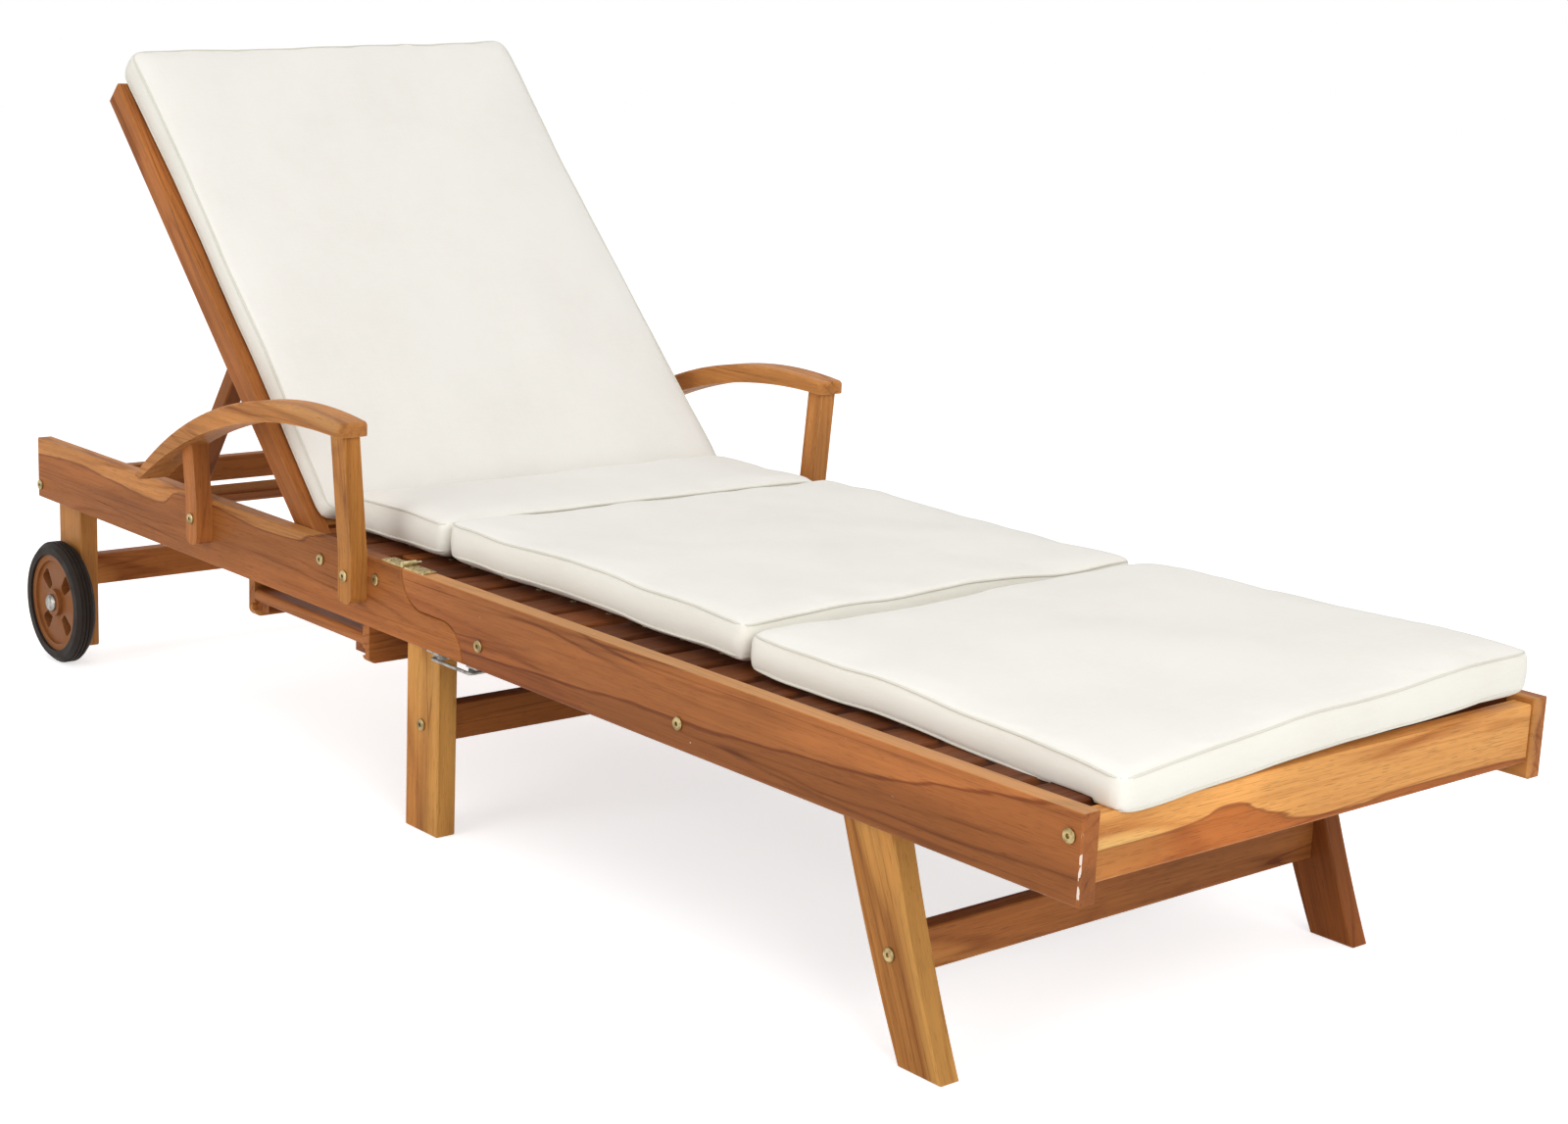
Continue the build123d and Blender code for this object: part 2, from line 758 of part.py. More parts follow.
def hinge_leaves(toward, knuckles):
    """A leaf on each side, toward the head or the foot, with the knuckles it carries."""
    with BuildPart() as made:
        for side in SIDES.values():
            plate_start = knuckle_radius + knuckle_gap
            middle = side * (leaf_near + leaf_width / 2)
            with BuildSketch(Plane.XY.offset(rail_top)):
                with Locations((fold_x + toward * (plate_start + leaf_length) / 2, middle)):
                    Rectangle(leaf_length - plate_start, leaf_width)
            extrude(amount=leaf_thickness)
            for index in knuckles:
                near = leaf_near + index * knuckle_length + knuckle_gap / 2
                far = near + knuckle_length - knuckle_gap
                with BuildSketch(Plane.XY.offset(rail_top)):
                    with Locations((fold_x + toward * leaf_length / 4, side * (near + far) / 2)):
                        Rectangle(leaf_length / 2, far - near)
                extrude(amount=leaf_thickness)
                with BuildSketch(slab_plane(side, near, far)):
                    with Locations((fold_x, fold_axis_level)):
                        Circle(knuckle_radius)
                extrude(amount=far - near)
                with BuildSketch(slab_plane(side, near, far)):
                    with Locations((fold_x, fold_axis_level)):
                        Circle(knuckle_pin_radius + pivot_gap)
                extrude(amount=far - near, mode=Mode.SUBTRACT)
            with BuildSketch(Plane.XY.offset(rail_top + leaf_thickness)):
                with Locations((fold_x + toward * (plate_start + leaf_length) / 2, middle)):
                    with GridLocations(leaf_length / 2, leaf_width / 2, 2, 2):
                        Circle(leaf_screw_radius)
            extrude(amount=leaf_screw_height)
    return made


keep(hinge_leaves(-1, (0, 2)), "hinge_leaves_head")
keep(hinge_leaves(1, (1,)), "hinge_leaves_foot")

pin_head_start = leaf_near + leaf_width - knuckle_gap / 2
with BuildPart() as hinge_pins:
    for side in SIDES.values():
        pin_length = leaf_width + knuckle_pin_tail
        with BuildSketch(slab_plane(side, leaf_near - knuckle_pin_tail, leaf_near + leaf_width)):
            with Locations((fold_x, fold_axis_level)):
                Circle(knuckle_pin_radius)
        extrude(amount=pin_length)
        with BuildSketch(slab_plane(side, pin_head_start, pin_head_start + knuckle_pin_head)):
            with Locations((fold_x, fold_axis_level)):
                Circle(knuckle_pin_head_radius)
        extrude(amount=knuckle_pin_head)
keep(hinge_pins, "hinge_pins")

# Wheels on their axle bolts
disc_inner_face = wheel_inner + (wheel_width - disc_width) / 2
disc_outer_face = disc_inner_face + disc_width
hub_near = wheel_inner + hub_inset
hub_far = wheel_outer - hub_inset


def wheel_section(side):
    """The upright plane through the axle, with its first direction out to this side."""
    return Plane(origin=(wheel_x, 0, wheel_radius), x_dir=(0, side, 0), z_dir=(side, 0, 0))


for word, side in SIDES.items():
    axle = Axis((wheel_x, 0, wheel_radius), (0, 1, 0))
    with BuildPart() as wheel_disc:
        with BuildSketch(wheel_section(side)):
            with BuildLine():
                bore = axle_radius + pivot_gap
                web_near, web_far = disc_inner_face + disc_dish, disc_outer_face - disc_dish
                rim = disc_radius - disc_rim
                Polyline(
                    (hub_near, bore), (hub_near, hub_radius), (web_near, hub_radius), (web_near, rim),
                    (disc_inner_face, rim), (disc_inner_face, disc_radius),
                    (disc_outer_face, disc_radius), (disc_outer_face, rim), (web_far, rim),
                    (web_far, hub_radius), (hub_far, hub_radius), (hub_far, bore), close=True,
                )
            make_face()
        revolve(axis=axle)
        with BuildSketch(slab_plane(side, web_near, web_far)) as windows:
            with Locations((wheel_x, wheel_radius)):
                with PolarLocations((hub_radius + rim) / 2, window_count, start_angle=window_turn):
                    with Locations(Location((0, 0, 0), (0, 0, -90))):
                        half_out, half_in = window_width / 2, window_width * window_share / 2
                        Polygon(
                            (-half_in, -window_length / 2), (half_in, -window_length / 2),
                            (half_out, window_length / 2), (-half_out, window_length / 2),
                        )
            fillet(windows.vertices(), window_round)
        extrude(amount=web_far - web_near, mode=Mode.SUBTRACT)
    keep(wheel_disc, f"wheel_disc_{word}")

    with BuildPart() as tyre:
        with BuildSketch(wheel_section(side)):
            with BuildLine():
                shoulder = wheel_radius - tyre_shoulder
                Polyline(
                    (wheel_inner, shoulder), (wheel_inner, disc_radius), (wheel_outer, disc_radius),
                    (wheel_outer, shoulder), (wheel_outer - tyre_shoulder, wheel_radius),
                    (wheel_inner + tyre_shoulder, wheel_radius), close=True,
                )
            make_face()
            with Locations(((wheel_inner + wheel_outer) / 2, wheel_radius)):
                with GridLocations(tread_width / tread_groove_count, 0, tread_groove_count, 1):
                    Rectangle(tread_groove_width, 2 * tread_groove_depth, mode=Mode.SUBTRACT)
        revolve(axis=axle)
    keep(tyre, f"tyre_{word}")

axle_head_start = hub_far + side_gap
axle_tip = leg_inner - axle_nut_height - axle_tail
for word, side in SIDES.items():
    with BuildPart() as axle_bolt:
        head_end_y = axle_head_start + axle_head_height
        with BuildSketch(slab_plane(side, axle_head_start, head_end_y)):
            with Locations((wheel_x, wheel_radius)):
                Circle(axle_head_radius)
        extrude(amount=axle_head_height)
        outer_rim = axle_bolt.edges().sort_by(Axis.Y)[-1 if side == LEFT else 0]
        fillet(outer_rim, axle_head_round)
        with BuildSketch(slab_plane(side, axle_tip, axle_head_start)):
            with Locations((wheel_x, wheel_radius)):
                Circle(axle_radius)
        extrude(amount=axle_head_start - axle_tip)
        with BuildSketch(slab_plane(side, leg_inner - axle_nut_height, leg_inner)):
            with Locations((wheel_x, wheel_radius)):
                RegularPolygon(axle_nut_size / 2, 6, major_radius=False)
        extrude(amount=axle_nut_height)
    keep(axle_bolt, f"axle_bolt_{word}")

# Bolts of the frame, and the bolts and washers the back turns on
bolt_groups = {
    "frame_bolts": (
        bolts(head_rail_spots, half_width, rail_reach),
        bolts(head_leg_spots, inner_face, leg_reach),
        bolts(post_spots, post_outer, post_reach),
        bolts(ledger_bolt_spots, half_width, ledger_reach),
    ),
    "foot_bolts": (
        bolts(foot_rail_spots, foot_outer, rail_reach),
        bolts(foot_leg_spots, inner_face, leg_reach),
    ),
}
for label, groups in bolt_groups.items():
    with BuildPart() as bolt_set:
        for group in groups:
            add(group.part)
    keep(bolt_set, label)

washer_start = stile_outer + side_gap
pivot_head_far = stile_inner - side_gap
pivot_tip = half_width - pivot_blind - bolt_gap
with BuildPart() as pivot_bolts:
    for side in SIDES.values():
        with BuildSketch(slab_plane(side, pivot_head_far, pivot_tip)):
            with Locations(pivot_spots):
                Circle(pivot_bolt_radius)
        extrude(amount=pivot_tip - pivot_head_far)
        with BuildSketch(slab_plane(side, pivot_head_far - bolt_head_height, pivot_head_far)):
            with Locations(pivot_spots):
                Circle(bolt_head_radius)
        extrude(amount=bolt_head_height)
        with BuildSketch(slab_plane(side, washer_start, inner_face)):
            with Locations(pivot_spots):
                Circle(washer_radius)
        extrude(amount=inner_face - washer_start)
keep(pivot_bolts, "pivot_bolts")

# Tray under the seat and the runners it slides in
runner_xs = {"rear": head_end + tray_rear_place, "front": head_end + tray_front_place}
runner_half = tray_runner_thickness / 2
for word, x in runner_xs.items():
    toward = 1 if word == "rear" else -1
    with BuildPart() as runner:
        with BuildSketch(Plane.YZ.offset(x - runner_half)):
            with Locations((0, (tray_runner_low + rail_low) / 2)):
                Rectangle(2 * tray_near, rail_low - tray_runner_low)
        extrude(amount=tray_runner_thickness)
        fillet(runner.edges().filter_by(Axis.X).group_by(Axis.Z)[0], tray_runner_round)
        groove_middle = tray_groove_low + tray_groove_height / 2
        with BuildSketch(Plane.XZ.offset(-tray_near)):
            with Locations((x + toward * (runner_half - tray_groove_depth / 2), groove_middle)):
                Rectangle(tray_groove_depth, tray_groove_height)
        extrude(amount=2 * tray_near, mode=Mode.SUBTRACT)
    keep(runner, f"tray_runner_{word}")

tray_far = -tray_near + tray_depth
tray_start = runner_xs["rear"] + runner_half + runner_gap
tray_end = runner_xs["front"] - runner_half - runner_gap
tray_slat_low = tray_slat_top - tray_slat_thickness
batten_low = tray_groove_low + runner_gap
tongue_high = tray_groove_low + tray_groove_height - runner_gap
tongue_reach = tray_groove_depth - runner_gap
with BuildPart() as tray_battens:
    with BuildSketch(Plane.XZ.offset(tray_near - tray_batten_inset)):
        for face, toward in ((tray_start, 1), (tray_end, -1)):
            with Locations((face + toward * tray_batten_width / 2, (batten_low + tray_slat_low) / 2)):
                Rectangle(tray_batten_width, tray_slat_low - batten_low)
            with Locations((face - toward * tongue_reach / 2, (batten_low + tongue_high) / 2)):
                Rectangle(tongue_reach, tongue_high - batten_low)
    extrude(amount=-(tray_depth - 2 * tray_batten_inset))
keep(tray_battens, "tray_battens")

tray_slat_width = (tray_depth - (tray_slat_count - 1) * tray_slat_gap) / tray_slat_count
with BuildPart() as tray_slats:
    with BuildSketch(Plane.XY.offset(tray_slat_low)):
        for index in range(tray_slat_count):
            middle = -tray_near + tray_slat_width / 2 + index * (tray_slat_width + tray_slat_gap)
            with Locations(((tray_start + tray_end) / 2, middle)):
                Rectangle(tray_end - tray_start, tray_slat_width)
    extrude(amount=tray_slat_thickness)
    near_edges = tray_slats.edges().filter_by(Axis.X).group_by(Axis.Y)[0]
    fillet(near_edges, tray_edge_round)
    chamfer(tray_slats.edges().filter_by(Axis.X).group_by(Axis.Z)[-1], arris)
keep(tray_slats, "tray_slats")


# Pads, each a crowned form with rounded ends and sides drawn in between its corners
def pad(start, end, half_span, base, thickness, edge, edge_lift, plane_at):
    """A pad lofted from start to end through sections on the planes that plane_at gives."""
    length = end - start
    corner = [share * pad_corner_length for share in pad_corner_shares]
    span = [share * length for share in pad_span_shares]
    stations = corner + span + [length - place for place in reversed(corner)]
    with BuildPart() as made:
        for place in stations:
            nearness = min(place, length - place, pad_corner_length) / pad_corner_length
            fullness = math.sqrt(1 - (1 - nearness) ** 2)
            body = pad_end_share + (1 - pad_end_share) * fullness
            drawn = pad_side_draw * math.sin(math.pi * place / length)
            half = half_span - pad_corner_width * (1 - fullness) - drawn
            side_x = half - pad_side_bulge
            flat_x = half - pad_flat_inset
            low = base + edge_lift
            high = base + edge * body
            middle = (low + high) / 2
            with BuildSketch(plane_at(start + place)):
                with BuildLine():
                    Polyline((-side_x, low), (-flat_x, base), (flat_x, base), (side_x, low))
                    ThreePointArc((side_x, low), (half, middle), (side_x, high))
                    ThreePointArc((side_x, high), (0, base + thickness * body), (-side_x, high))
                    ThreePointArc((-side_x, high), (-half, middle), (-side_x, low))
                make_face()
        loft()
    return made


def cross_plane(x):
    """The upright plane across the lounger at x."""
    return Plane.YZ.offset(x)


def lying_cross_plane(along):
    """The upright plane across a back that lies flat, at a place along its stiles."""
    return Plane(origin=(-along, 0, 0), x_dir=(0, -1, 0), z_dir=(-1, 0, 0))


deck_pad_base = deck_top + soft_gap
deck_pad_half = inner_face - pad_side_margin
back_pad_half = inner_face - back_pad_side_margin
crease_x = fold_x + pad_crease_shift
deck_pads = {
    "cushion_seat": (head_end + seat_pad_start, crease_x - pad_crease_gap / 2),
    "cushion_middle": (crease_x + pad_crease_gap / 2, foot_pad_start - pad_crease_gap),
    "cushion_foot": (foot_pad_start, foot_pad_end),
}
for label, (start, end) in deck_pads.items():
    made_pad = pad(
        start, end, deck_pad_half, deck_pad_base, pad_thickness, pad_edge, pad_edge_lift, cross_plane
    )
    keep(made_pad, label)
back_pad_base = back_deck + soft_gap
lying_pad = pad(
    back_pad_start, back_pad_end, back_pad_half, back_pad_base, back_pad_thickness, back_pad_edge,
    back_pad_edge_lift, lying_cross_plane,
)
with BuildPart() as cushion_back:
    with Locations(Location((pivot_x, 0, pivot_level), (0, back_angle, 0))):
        add(lying_pad.part)
keep(cushion_back, "cushion_back")

# Latch under the fold, on the right side
latch_x = head_end + latch_place
latch_level = rail_low - latch_pin_drop
latch_y = -(half_width - latch_inset)
loop_end = latch_x + latch_bail_length
arm_ys = [latch_y - latch_bail_width / 2, latch_y + latch_bail_width / 2]
with BuildPart() as latch_bracket:
    with BuildSketch(Plane.XY.offset(rail_low - latch_plate_thickness)):
        with Locations((latch_x, latch_y)):
            Rectangle(latch_plate_length, latch_plate_width)
    extrude(amount=latch_plate_thickness)
    sleeve_start = latch_y + latch_sleeve_length / 2
    with BuildSketch(side_plane(sleeve_start)):
        with Locations((latch_x, latch_level)):
            Circle(latch_sleeve_radius)
        with Locations((latch_x, (latch_level + rail_low) / 2)):
            Rectangle(2 * latch_sleeve_radius, rail_low - latch_level)
    extrude(amount=latch_sleeve_length)
    with BuildSketch(side_plane(sleeve_start)):
        with Locations((latch_x, latch_level)):
            Circle(latch_bail_radius + pivot_gap)
    extrude(amount=latch_sleeve_length, mode=Mode.SUBTRACT)
keep(latch_bracket, "latch_bracket")

with BuildPart() as latch_bail:
    with BuildLine(Plane.XY.offset(latch_level)) as bail_line:
        FilletPolyline(
            (latch_x, arm_ys[0]), (loop_end, arm_ys[0]), (loop_end, arm_ys[1]), (latch_x, arm_ys[1]),
            radius=latch_bail_bend, close=True,
        )
    with BuildSketch(Plane(origin=bail_line.line @ 0, z_dir=bail_line.line % 0)):
        Circle(latch_bail_radius)
    sweep()
keep(latch_bail, "latch_bail")

tab_end = loop_end - latch_bail_radius - keeper_gap
with BuildPart() as latch_keeper:
    with BuildSketch(Plane.XY.offset(rail_low - latch_plate_thickness)):
        with Locations((tab_end + keeper_plate_length / 2 - keeper_tab_thickness, latch_y)):
            Rectangle(keeper_plate_length, latch_plate_width)
    extrude(amount=latch_plate_thickness)
    with BuildSketch(Plane.XY.offset(keeper_tab_level)):
        with Locations((tab_end - keeper_tab_thickness / 2, latch_y)):
            Rectangle(keeper_tab_thickness, latch_sleeve_length)
    extrude(amount=rail_low - keeper_tab_level)
keep(latch_keeper, "latch_keeper")
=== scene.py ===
"""Looks of a folding teak sun lounger with a cream pad in four parts.

The CAD pieces come in as a fixed frame. This script gives them their oiled teak, metal, rubber and
moulded finishes, and adds the sewn pads with their piping and the screws of the slats.
All lengths are in metres, in the frame of the CAD model.
"""
import json
import logging
import math
from dataclasses import dataclass, field, replace
from enum import Enum
from functools import cache
from itertools import product
from typing import Callable, Iterable, Optional, Sequence, Union

import bmesh
import bpy
from mathutils import Matrix, Vector, noise
from mathutils.bvhtree import BVHTree

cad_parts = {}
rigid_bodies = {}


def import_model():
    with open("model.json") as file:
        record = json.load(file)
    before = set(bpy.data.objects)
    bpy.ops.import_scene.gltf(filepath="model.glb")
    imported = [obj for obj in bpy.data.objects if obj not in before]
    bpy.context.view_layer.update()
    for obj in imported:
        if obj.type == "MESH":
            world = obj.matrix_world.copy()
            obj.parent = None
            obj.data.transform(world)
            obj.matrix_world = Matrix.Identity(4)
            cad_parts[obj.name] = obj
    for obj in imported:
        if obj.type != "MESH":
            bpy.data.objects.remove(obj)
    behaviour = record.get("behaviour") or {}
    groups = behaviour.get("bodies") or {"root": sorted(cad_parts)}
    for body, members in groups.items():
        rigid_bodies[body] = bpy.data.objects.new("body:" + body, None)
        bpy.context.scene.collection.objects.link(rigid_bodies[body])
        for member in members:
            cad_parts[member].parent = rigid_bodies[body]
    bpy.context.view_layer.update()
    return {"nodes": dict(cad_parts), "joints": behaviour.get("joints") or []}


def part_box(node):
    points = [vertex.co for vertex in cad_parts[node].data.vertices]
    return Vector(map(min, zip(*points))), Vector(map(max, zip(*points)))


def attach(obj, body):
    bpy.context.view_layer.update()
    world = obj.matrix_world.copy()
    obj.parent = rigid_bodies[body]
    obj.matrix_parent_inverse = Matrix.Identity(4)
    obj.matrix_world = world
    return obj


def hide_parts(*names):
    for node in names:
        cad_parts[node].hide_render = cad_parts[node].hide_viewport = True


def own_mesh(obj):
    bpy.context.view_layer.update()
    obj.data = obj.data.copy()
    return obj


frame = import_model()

log = logging.getLogger("sun_lounger")
NODES = frame["nodes"]
TILT = next(joint for joint in frame["joints"] if joint["name"] == "backrest_tilt")

Colour = tuple[float, float, float, float]
Material = bpy.types.Material
Node = bpy.types.Node
Outputs = bpy.types.NodeOutputs
Socket = bpy.types.NodeSocket
Thing = bpy.types.Object
Tree = bpy.types.NodeTree

SLAT_GAP = 0.014
FOOT_SLATS = 16
WHITE = (1.0, 1.0, 1.0, 1.0)
BLACK = (0.0, 0.0, 0.0, 1.0)


def srgb(red: int, green: int, blue: int) -> Colour:
    """Turns a screen colour into the linear colour that a shader takes.

    Args:
        red, green, blue: parts of the colour from 0 to 255.

    Returns:
        The linear colour with full opacity.
    """
    parts = [value / 255 for value in (red, green, blue)]
    linear = [p / 12.92 if p <= 0.04045 else ((p + 0.055) / 1.055) ** 2.4 for p in parts]
    return (linear[0], linear[1], linear[2], 1.0)


class Grain(Enum):
    """The way a board's grain runs, as the turn in degrees that brings it along X."""

    LENGTHWISE = (0.0, 0.0, 0.0)
    ACROSS = (0.0, 0.0, -90.0)
    UPRIGHT = (0.0, 90.0, 0.0)
    BACK = (0.0, -45.0, 0.0)
    PROP = (0.0, 55.03, 0.0)
    FOOT_LEG = (0.0, -69.0, 0.0)


class Kind(Enum):
    """The types of a group's named sockets."""

    VECTOR = "NodeSocketVector"
    COLOUR = "NodeSocketColor"
    FLOAT = "NodeSocketFloat"
    INT = "NodeSocketInt"
    MATERIAL = "NodeSocketMaterial"
    GEOMETRY = "NodeSocketGeometry"


def add_sockets(tree: Tree, side: str, sockets: dict[str, Kind]) -> dict[str, str]:
    """Adds named sockets to a group and returns each one's identifier by its name."""
    new = tree.interface.new_socket
    return {name: new(name, in_out=side, socket_type=kind.value).identifier for name, kind in sockets.items()}


class Sketch:
    """Short calls for laying out one node tree."""

    def __init__(self, tree: Tree) -> None:
        """Starts on an empty tree."""
        self.tree = tree
        tree.nodes.clear()

    def node(self, kind: str, inputs: Optional[dict] = None, **settings: object) -> Node:
        """Adds a node.

        Args:
            kind: the node's type.
            inputs: values or sockets for its inputs, by name or number.
            settings: properties of the node itself.

        Returns:
            The new node.
        """
        made = self.tree.nodes.new(kind)
        for name, value in settings.items():
            setattr(made, name, value)
        for key, value in (inputs or {}).items():
            self.feed(made.inputs[key], value)
        return made

    def feed(self, socket: Socket, value: object) -> None:
        """Links a socket, or sets its own value when it is given a plain one."""
        if isinstance(value, Socket):
            self.tree.links.new(value, socket)
        else:
            socket.default_value = value

    def fill(self, node: Node, **inputs: object) -> None:
        """Feeds a node's inputs by name, with an underscore for each space."""
        for name, value in inputs.items():
            self.feed(node.inputs[name.replace("_", " ")], value)

    def math(self, operation: str, *terms: object, clamp: bool = False) -> Socket:
        """Adds a Math node and returns its result."""
        inputs = dict(enumerate(terms))
        return self.node("ShaderNodeMath", inputs, operation=operation, use_clamp=clamp).outputs[0]

    def chain(self, operation: str, terms: Sequence[object], clamp: bool = False) -> Socket:
        """Runs one operation along a row of terms, and clamps only the last result."""
        result = terms[0]
        for term in terms[1:-1]:
            result = self.math(operation, result, term)
        return self.math(operation, result, terms[-1], clamp=clamp)

    def plus(self, *terms: object, clamp: bool = False) -> Socket:
        """Adds the terms up."""
        return self.chain("ADD", terms, clamp)

    def minus(self, *terms: object) -> Socket:
        """Takes the further terms from the first."""
        return self.chain("SUBTRACT", terms)

    def times(self, *terms: object, clamp: bool = False) -> Socket:
        """Multiplies the terms."""
        return self.chain("MULTIPLY", terms, clamp)

    def vector(self, operation: str, first: object, second: object = (0.0, 0.0, 0.0)) -> Socket:
        """Adds a Vector Math node and returns its vector, or its value where it gives one."""
        made = self.node("ShaderNodeVectorMath", {0: first, 1: second}, operation=operation)
        return made.outputs["Value" if operation in ("LENGTH", "DOT_PRODUCT") else "Vector"]

    def xyz(self, x: object = 0.0, y: object = 0.0, z: object = 0.0) -> Socket:
        """Joins three values in a vector."""
        return self.node("ShaderNodeCombineXYZ", {0: x, 1: y, 2: z}).outputs[0]

    def split(self, place: Socket) -> Outputs:
        """Returns the three values of a vector."""
        return self.node("ShaderNodeSeparateXYZ", {0: place}).outputs

    def mix(self, share: object, first: object, second: object, blend: str = "MIX") -> Socket:
        """Mixes two colours and returns the result."""
        made = self.node("ShaderNodeMix", data_type="RGBA", blend_type=blend, clamp_factor=True)
        for number, value in ((0, share), (6, first), (7, second)):
            self.feed(made.inputs[number], value)
        return made.outputs[2]

    def spread(
        self, value: object, low: float, high: float, to_low: float = 0.0, to_high: float = 1.0,
    ) -> Socket:
        """Spreads a value between two limits over a new range, with smooth ends."""
        inputs = dict(enumerate((value, low, high, to_low, to_high)))
        return self.node("ShaderNodeMapRange", inputs, interpolation_type="SMOOTHSTEP").outputs[0]

    def noise(
        self, place: Socket, scale: Union[float, tuple], detail: float = 2.0, roughness: float = 0.5,
        output: str = "Fac",
    ) -> Socket:
        """Adds a noise, scaled evenly or by a value for each axis, and returns one of its outputs."""
        stretched = self.vector("MULTIPLY", place, scale if isinstance(scale, tuple) else (scale,) * 3)
        inputs = {"Vector": stretched, "Scale": 1.0, "Detail": detail, "Roughness": roughness}
        return self.node("ShaderNodeTexNoise", inputs).outputs[output]

    def bump(self, height: Socket, distance: float, strength: float, over: Optional[Socket] = None) -> Socket:
        """Adds a bump, over a coarser one where that is given, and returns its normal."""
        made = self.node("ShaderNodeBump", {"Height": height, "Distance": distance, "Strength": strength})
        if over:
            self.fill(made, Normal=over)
        return made.outputs[0]


class Effects:
    """The effects that several finishes share, each built once as a shader node group."""

    @staticmethod
    def start(name: str, takes: dict[str, Kind], gives: dict[str, Kind]) -> tuple[Sketch, Outputs, Node]:
        """Starts a group with its named sockets.

        Args:
            name: the group's name.
            takes: each input's type.
            gives: each output's type.

        Returns:
            The sketch, the sockets that bring the inputs in and the group's output node.
        """
        tree = bpy.data.node_groups.new(name, "ShaderNodeTree")
        add_sockets(tree, "INPUT", takes)
        add_sockets(tree, "OUTPUT", gives)
        sketch = Sketch(tree)
        return sketch, sketch.node("NodeGroupInput").outputs, sketch.node("NodeGroupOutput")

    @staticmethod
    @cache
    def teak_grain() -> Tree:
        """Growth rings, fibres, pores and sapwood patches of a board whose grain runs along X."""
        sketch, given, out = Effects.start(
            "teak_grain",
            {
                "Place": Kind.VECTOR, "Pale": Kind.COLOUR, "Middle": Kind.COLOUR, "Dark": Kind.COLOUR,
                "Ring Step": Kind.FLOAT, "Board": Kind.FLOAT, "Sapwood": Kind.FLOAT, "Figure": Kind.FLOAT,
            },
            {"Color": Kind.COLOUR, "Gloss Loss": Kind.FLOAT, "Height": Kind.FLOAT},
        )
        board = given["Board"]
        shift = sketch.xyz(*(sketch.times(board, rate) for rate in (3.17, 1.31, 2.23)))
        place = sketch.vector("ADD", given["Place"], shift)

        pith_y, pith_z = (
            sketch.plus(sketch.times(sketch.math("SINE", sketch.times(board, rate)), swing), middle)
            for rate, swing, middle in ((7.7, 0.05, 0.02), (4.3, 0.04, 0.09))
        )
        around = sketch.vector("MULTIPLY", given["Place"], (0.03, 1.0, 1.0))
        around = sketch.vector("ADD", around, sketch.xyz(y=pith_y, z=pith_z))
        for scale, sway in (((1.6, 9.0, 9.0), 0.085), ((9.0, 60.0, 60.0), 0.006)):
            swirl = sketch.vector("SUBTRACT", sketch.noise(place, scale, output="Color"), (0.5, 0.5, 0.5))
            around = sketch.vector("ADD", around, sketch.vector("MULTIPLY", swirl, (0.0, sway, sway)))
        turns = sketch.math("DIVIDE", sketch.vector("LENGTH", around), given["Ring Step"])
        wave = sketch.math("SINE", sketch.times(turns, 2 * math.pi))
        late = sketch.math("POWER", sketch.math("MULTIPLY_ADD", wave, 0.5, 0.5), 7.0)
        fade = sketch.noise(place, (2.2, 22.0, 22.0), 1.0)
        late = sketch.times(late, sketch.spread(fade, 0.38, 0.62, 0.05, 1.0))

        fibre = sketch.spread(sketch.noise(place, (9.0, 520.0, 520.0), 3.0, 0.65), 0.35, 0.68)
        streak = sketch.spread(sketch.noise(place, (1.4, 75.0, 75.0), 3.0, 0.6), 0.42, 0.66)
        pore = sketch.spread(sketch.noise(place, (55.0, 1500.0, 1500.0), 0.0), 0.66, 0.74)
        contour = sketch.noise(place, (0.45, 13.0, 13.0), 2.0, 0.4)
        bands = sketch.math("FRACT", sketch.times(contour, 8.0))
        hair = sketch.spread(sketch.math("ABSOLUTE", sketch.minus(bands, 0.5)), 0.0, 0.05, 1.0, 0.0)
        hair = sketch.times(hair, sketch.spread(fade, 0.36, 0.56, 0.15, 1.0))
        dark = sketch.plus(
            sketch.times(late, given["Figure"]), sketch.times(streak, 0.26), sketch.times(hair, 0.50),
            sketch.times(fibre, 0.20), clamp=True,
        )
        colour = sketch.mix(dark, given["Middle"], given["Dark"])

        patch = sketch.noise(place, (0.9, 6.5, 6.5), 2.0, 0.45)
        sap = sketch.times(sketch.spread(patch, 0.525, 0.575), given["Sapwood"], clamp=True)
        sap = sketch.times(sap, sketch.spread(dark, 0.25, 0.95, 1.0, 0.45))
        colour = sketch.mix(sap, colour, given["Pale"])
        margin = sketch.math("ABSOLUTE", sketch.minus(patch, 0.535))
        margin = sketch.spread(margin, 0.0, 0.014, 0.45, 0.0)
        colour = sketch.mix(sketch.times(margin, given["Sapwood"]), colour, given["Dark"])
        blush = sketch.spread(sketch.noise(place, (2.4, 11.0, 11.0), 3.0, 0.55), 0.36, 0.64, 1.14, 0.80)
        colour = sketch.node("ShaderNodeHueSaturation", {"Color": colour, "Value": blush}).outputs[0]

        sketch.fill(
            out,
            Color=sketch.mix(sketch.times(pore, 0.30), colour, srgb(66, 34, 16)),
            Gloss_Loss=sketch.plus(sketch.times(fibre, 0.10), sketch.times(late, 0.06)),
            Height=sketch.minus(sketch.times(fibre, 0.5), sketch.times(pore, 0.9), sketch.times(late, 0.25)),
        )
        return sketch.tree

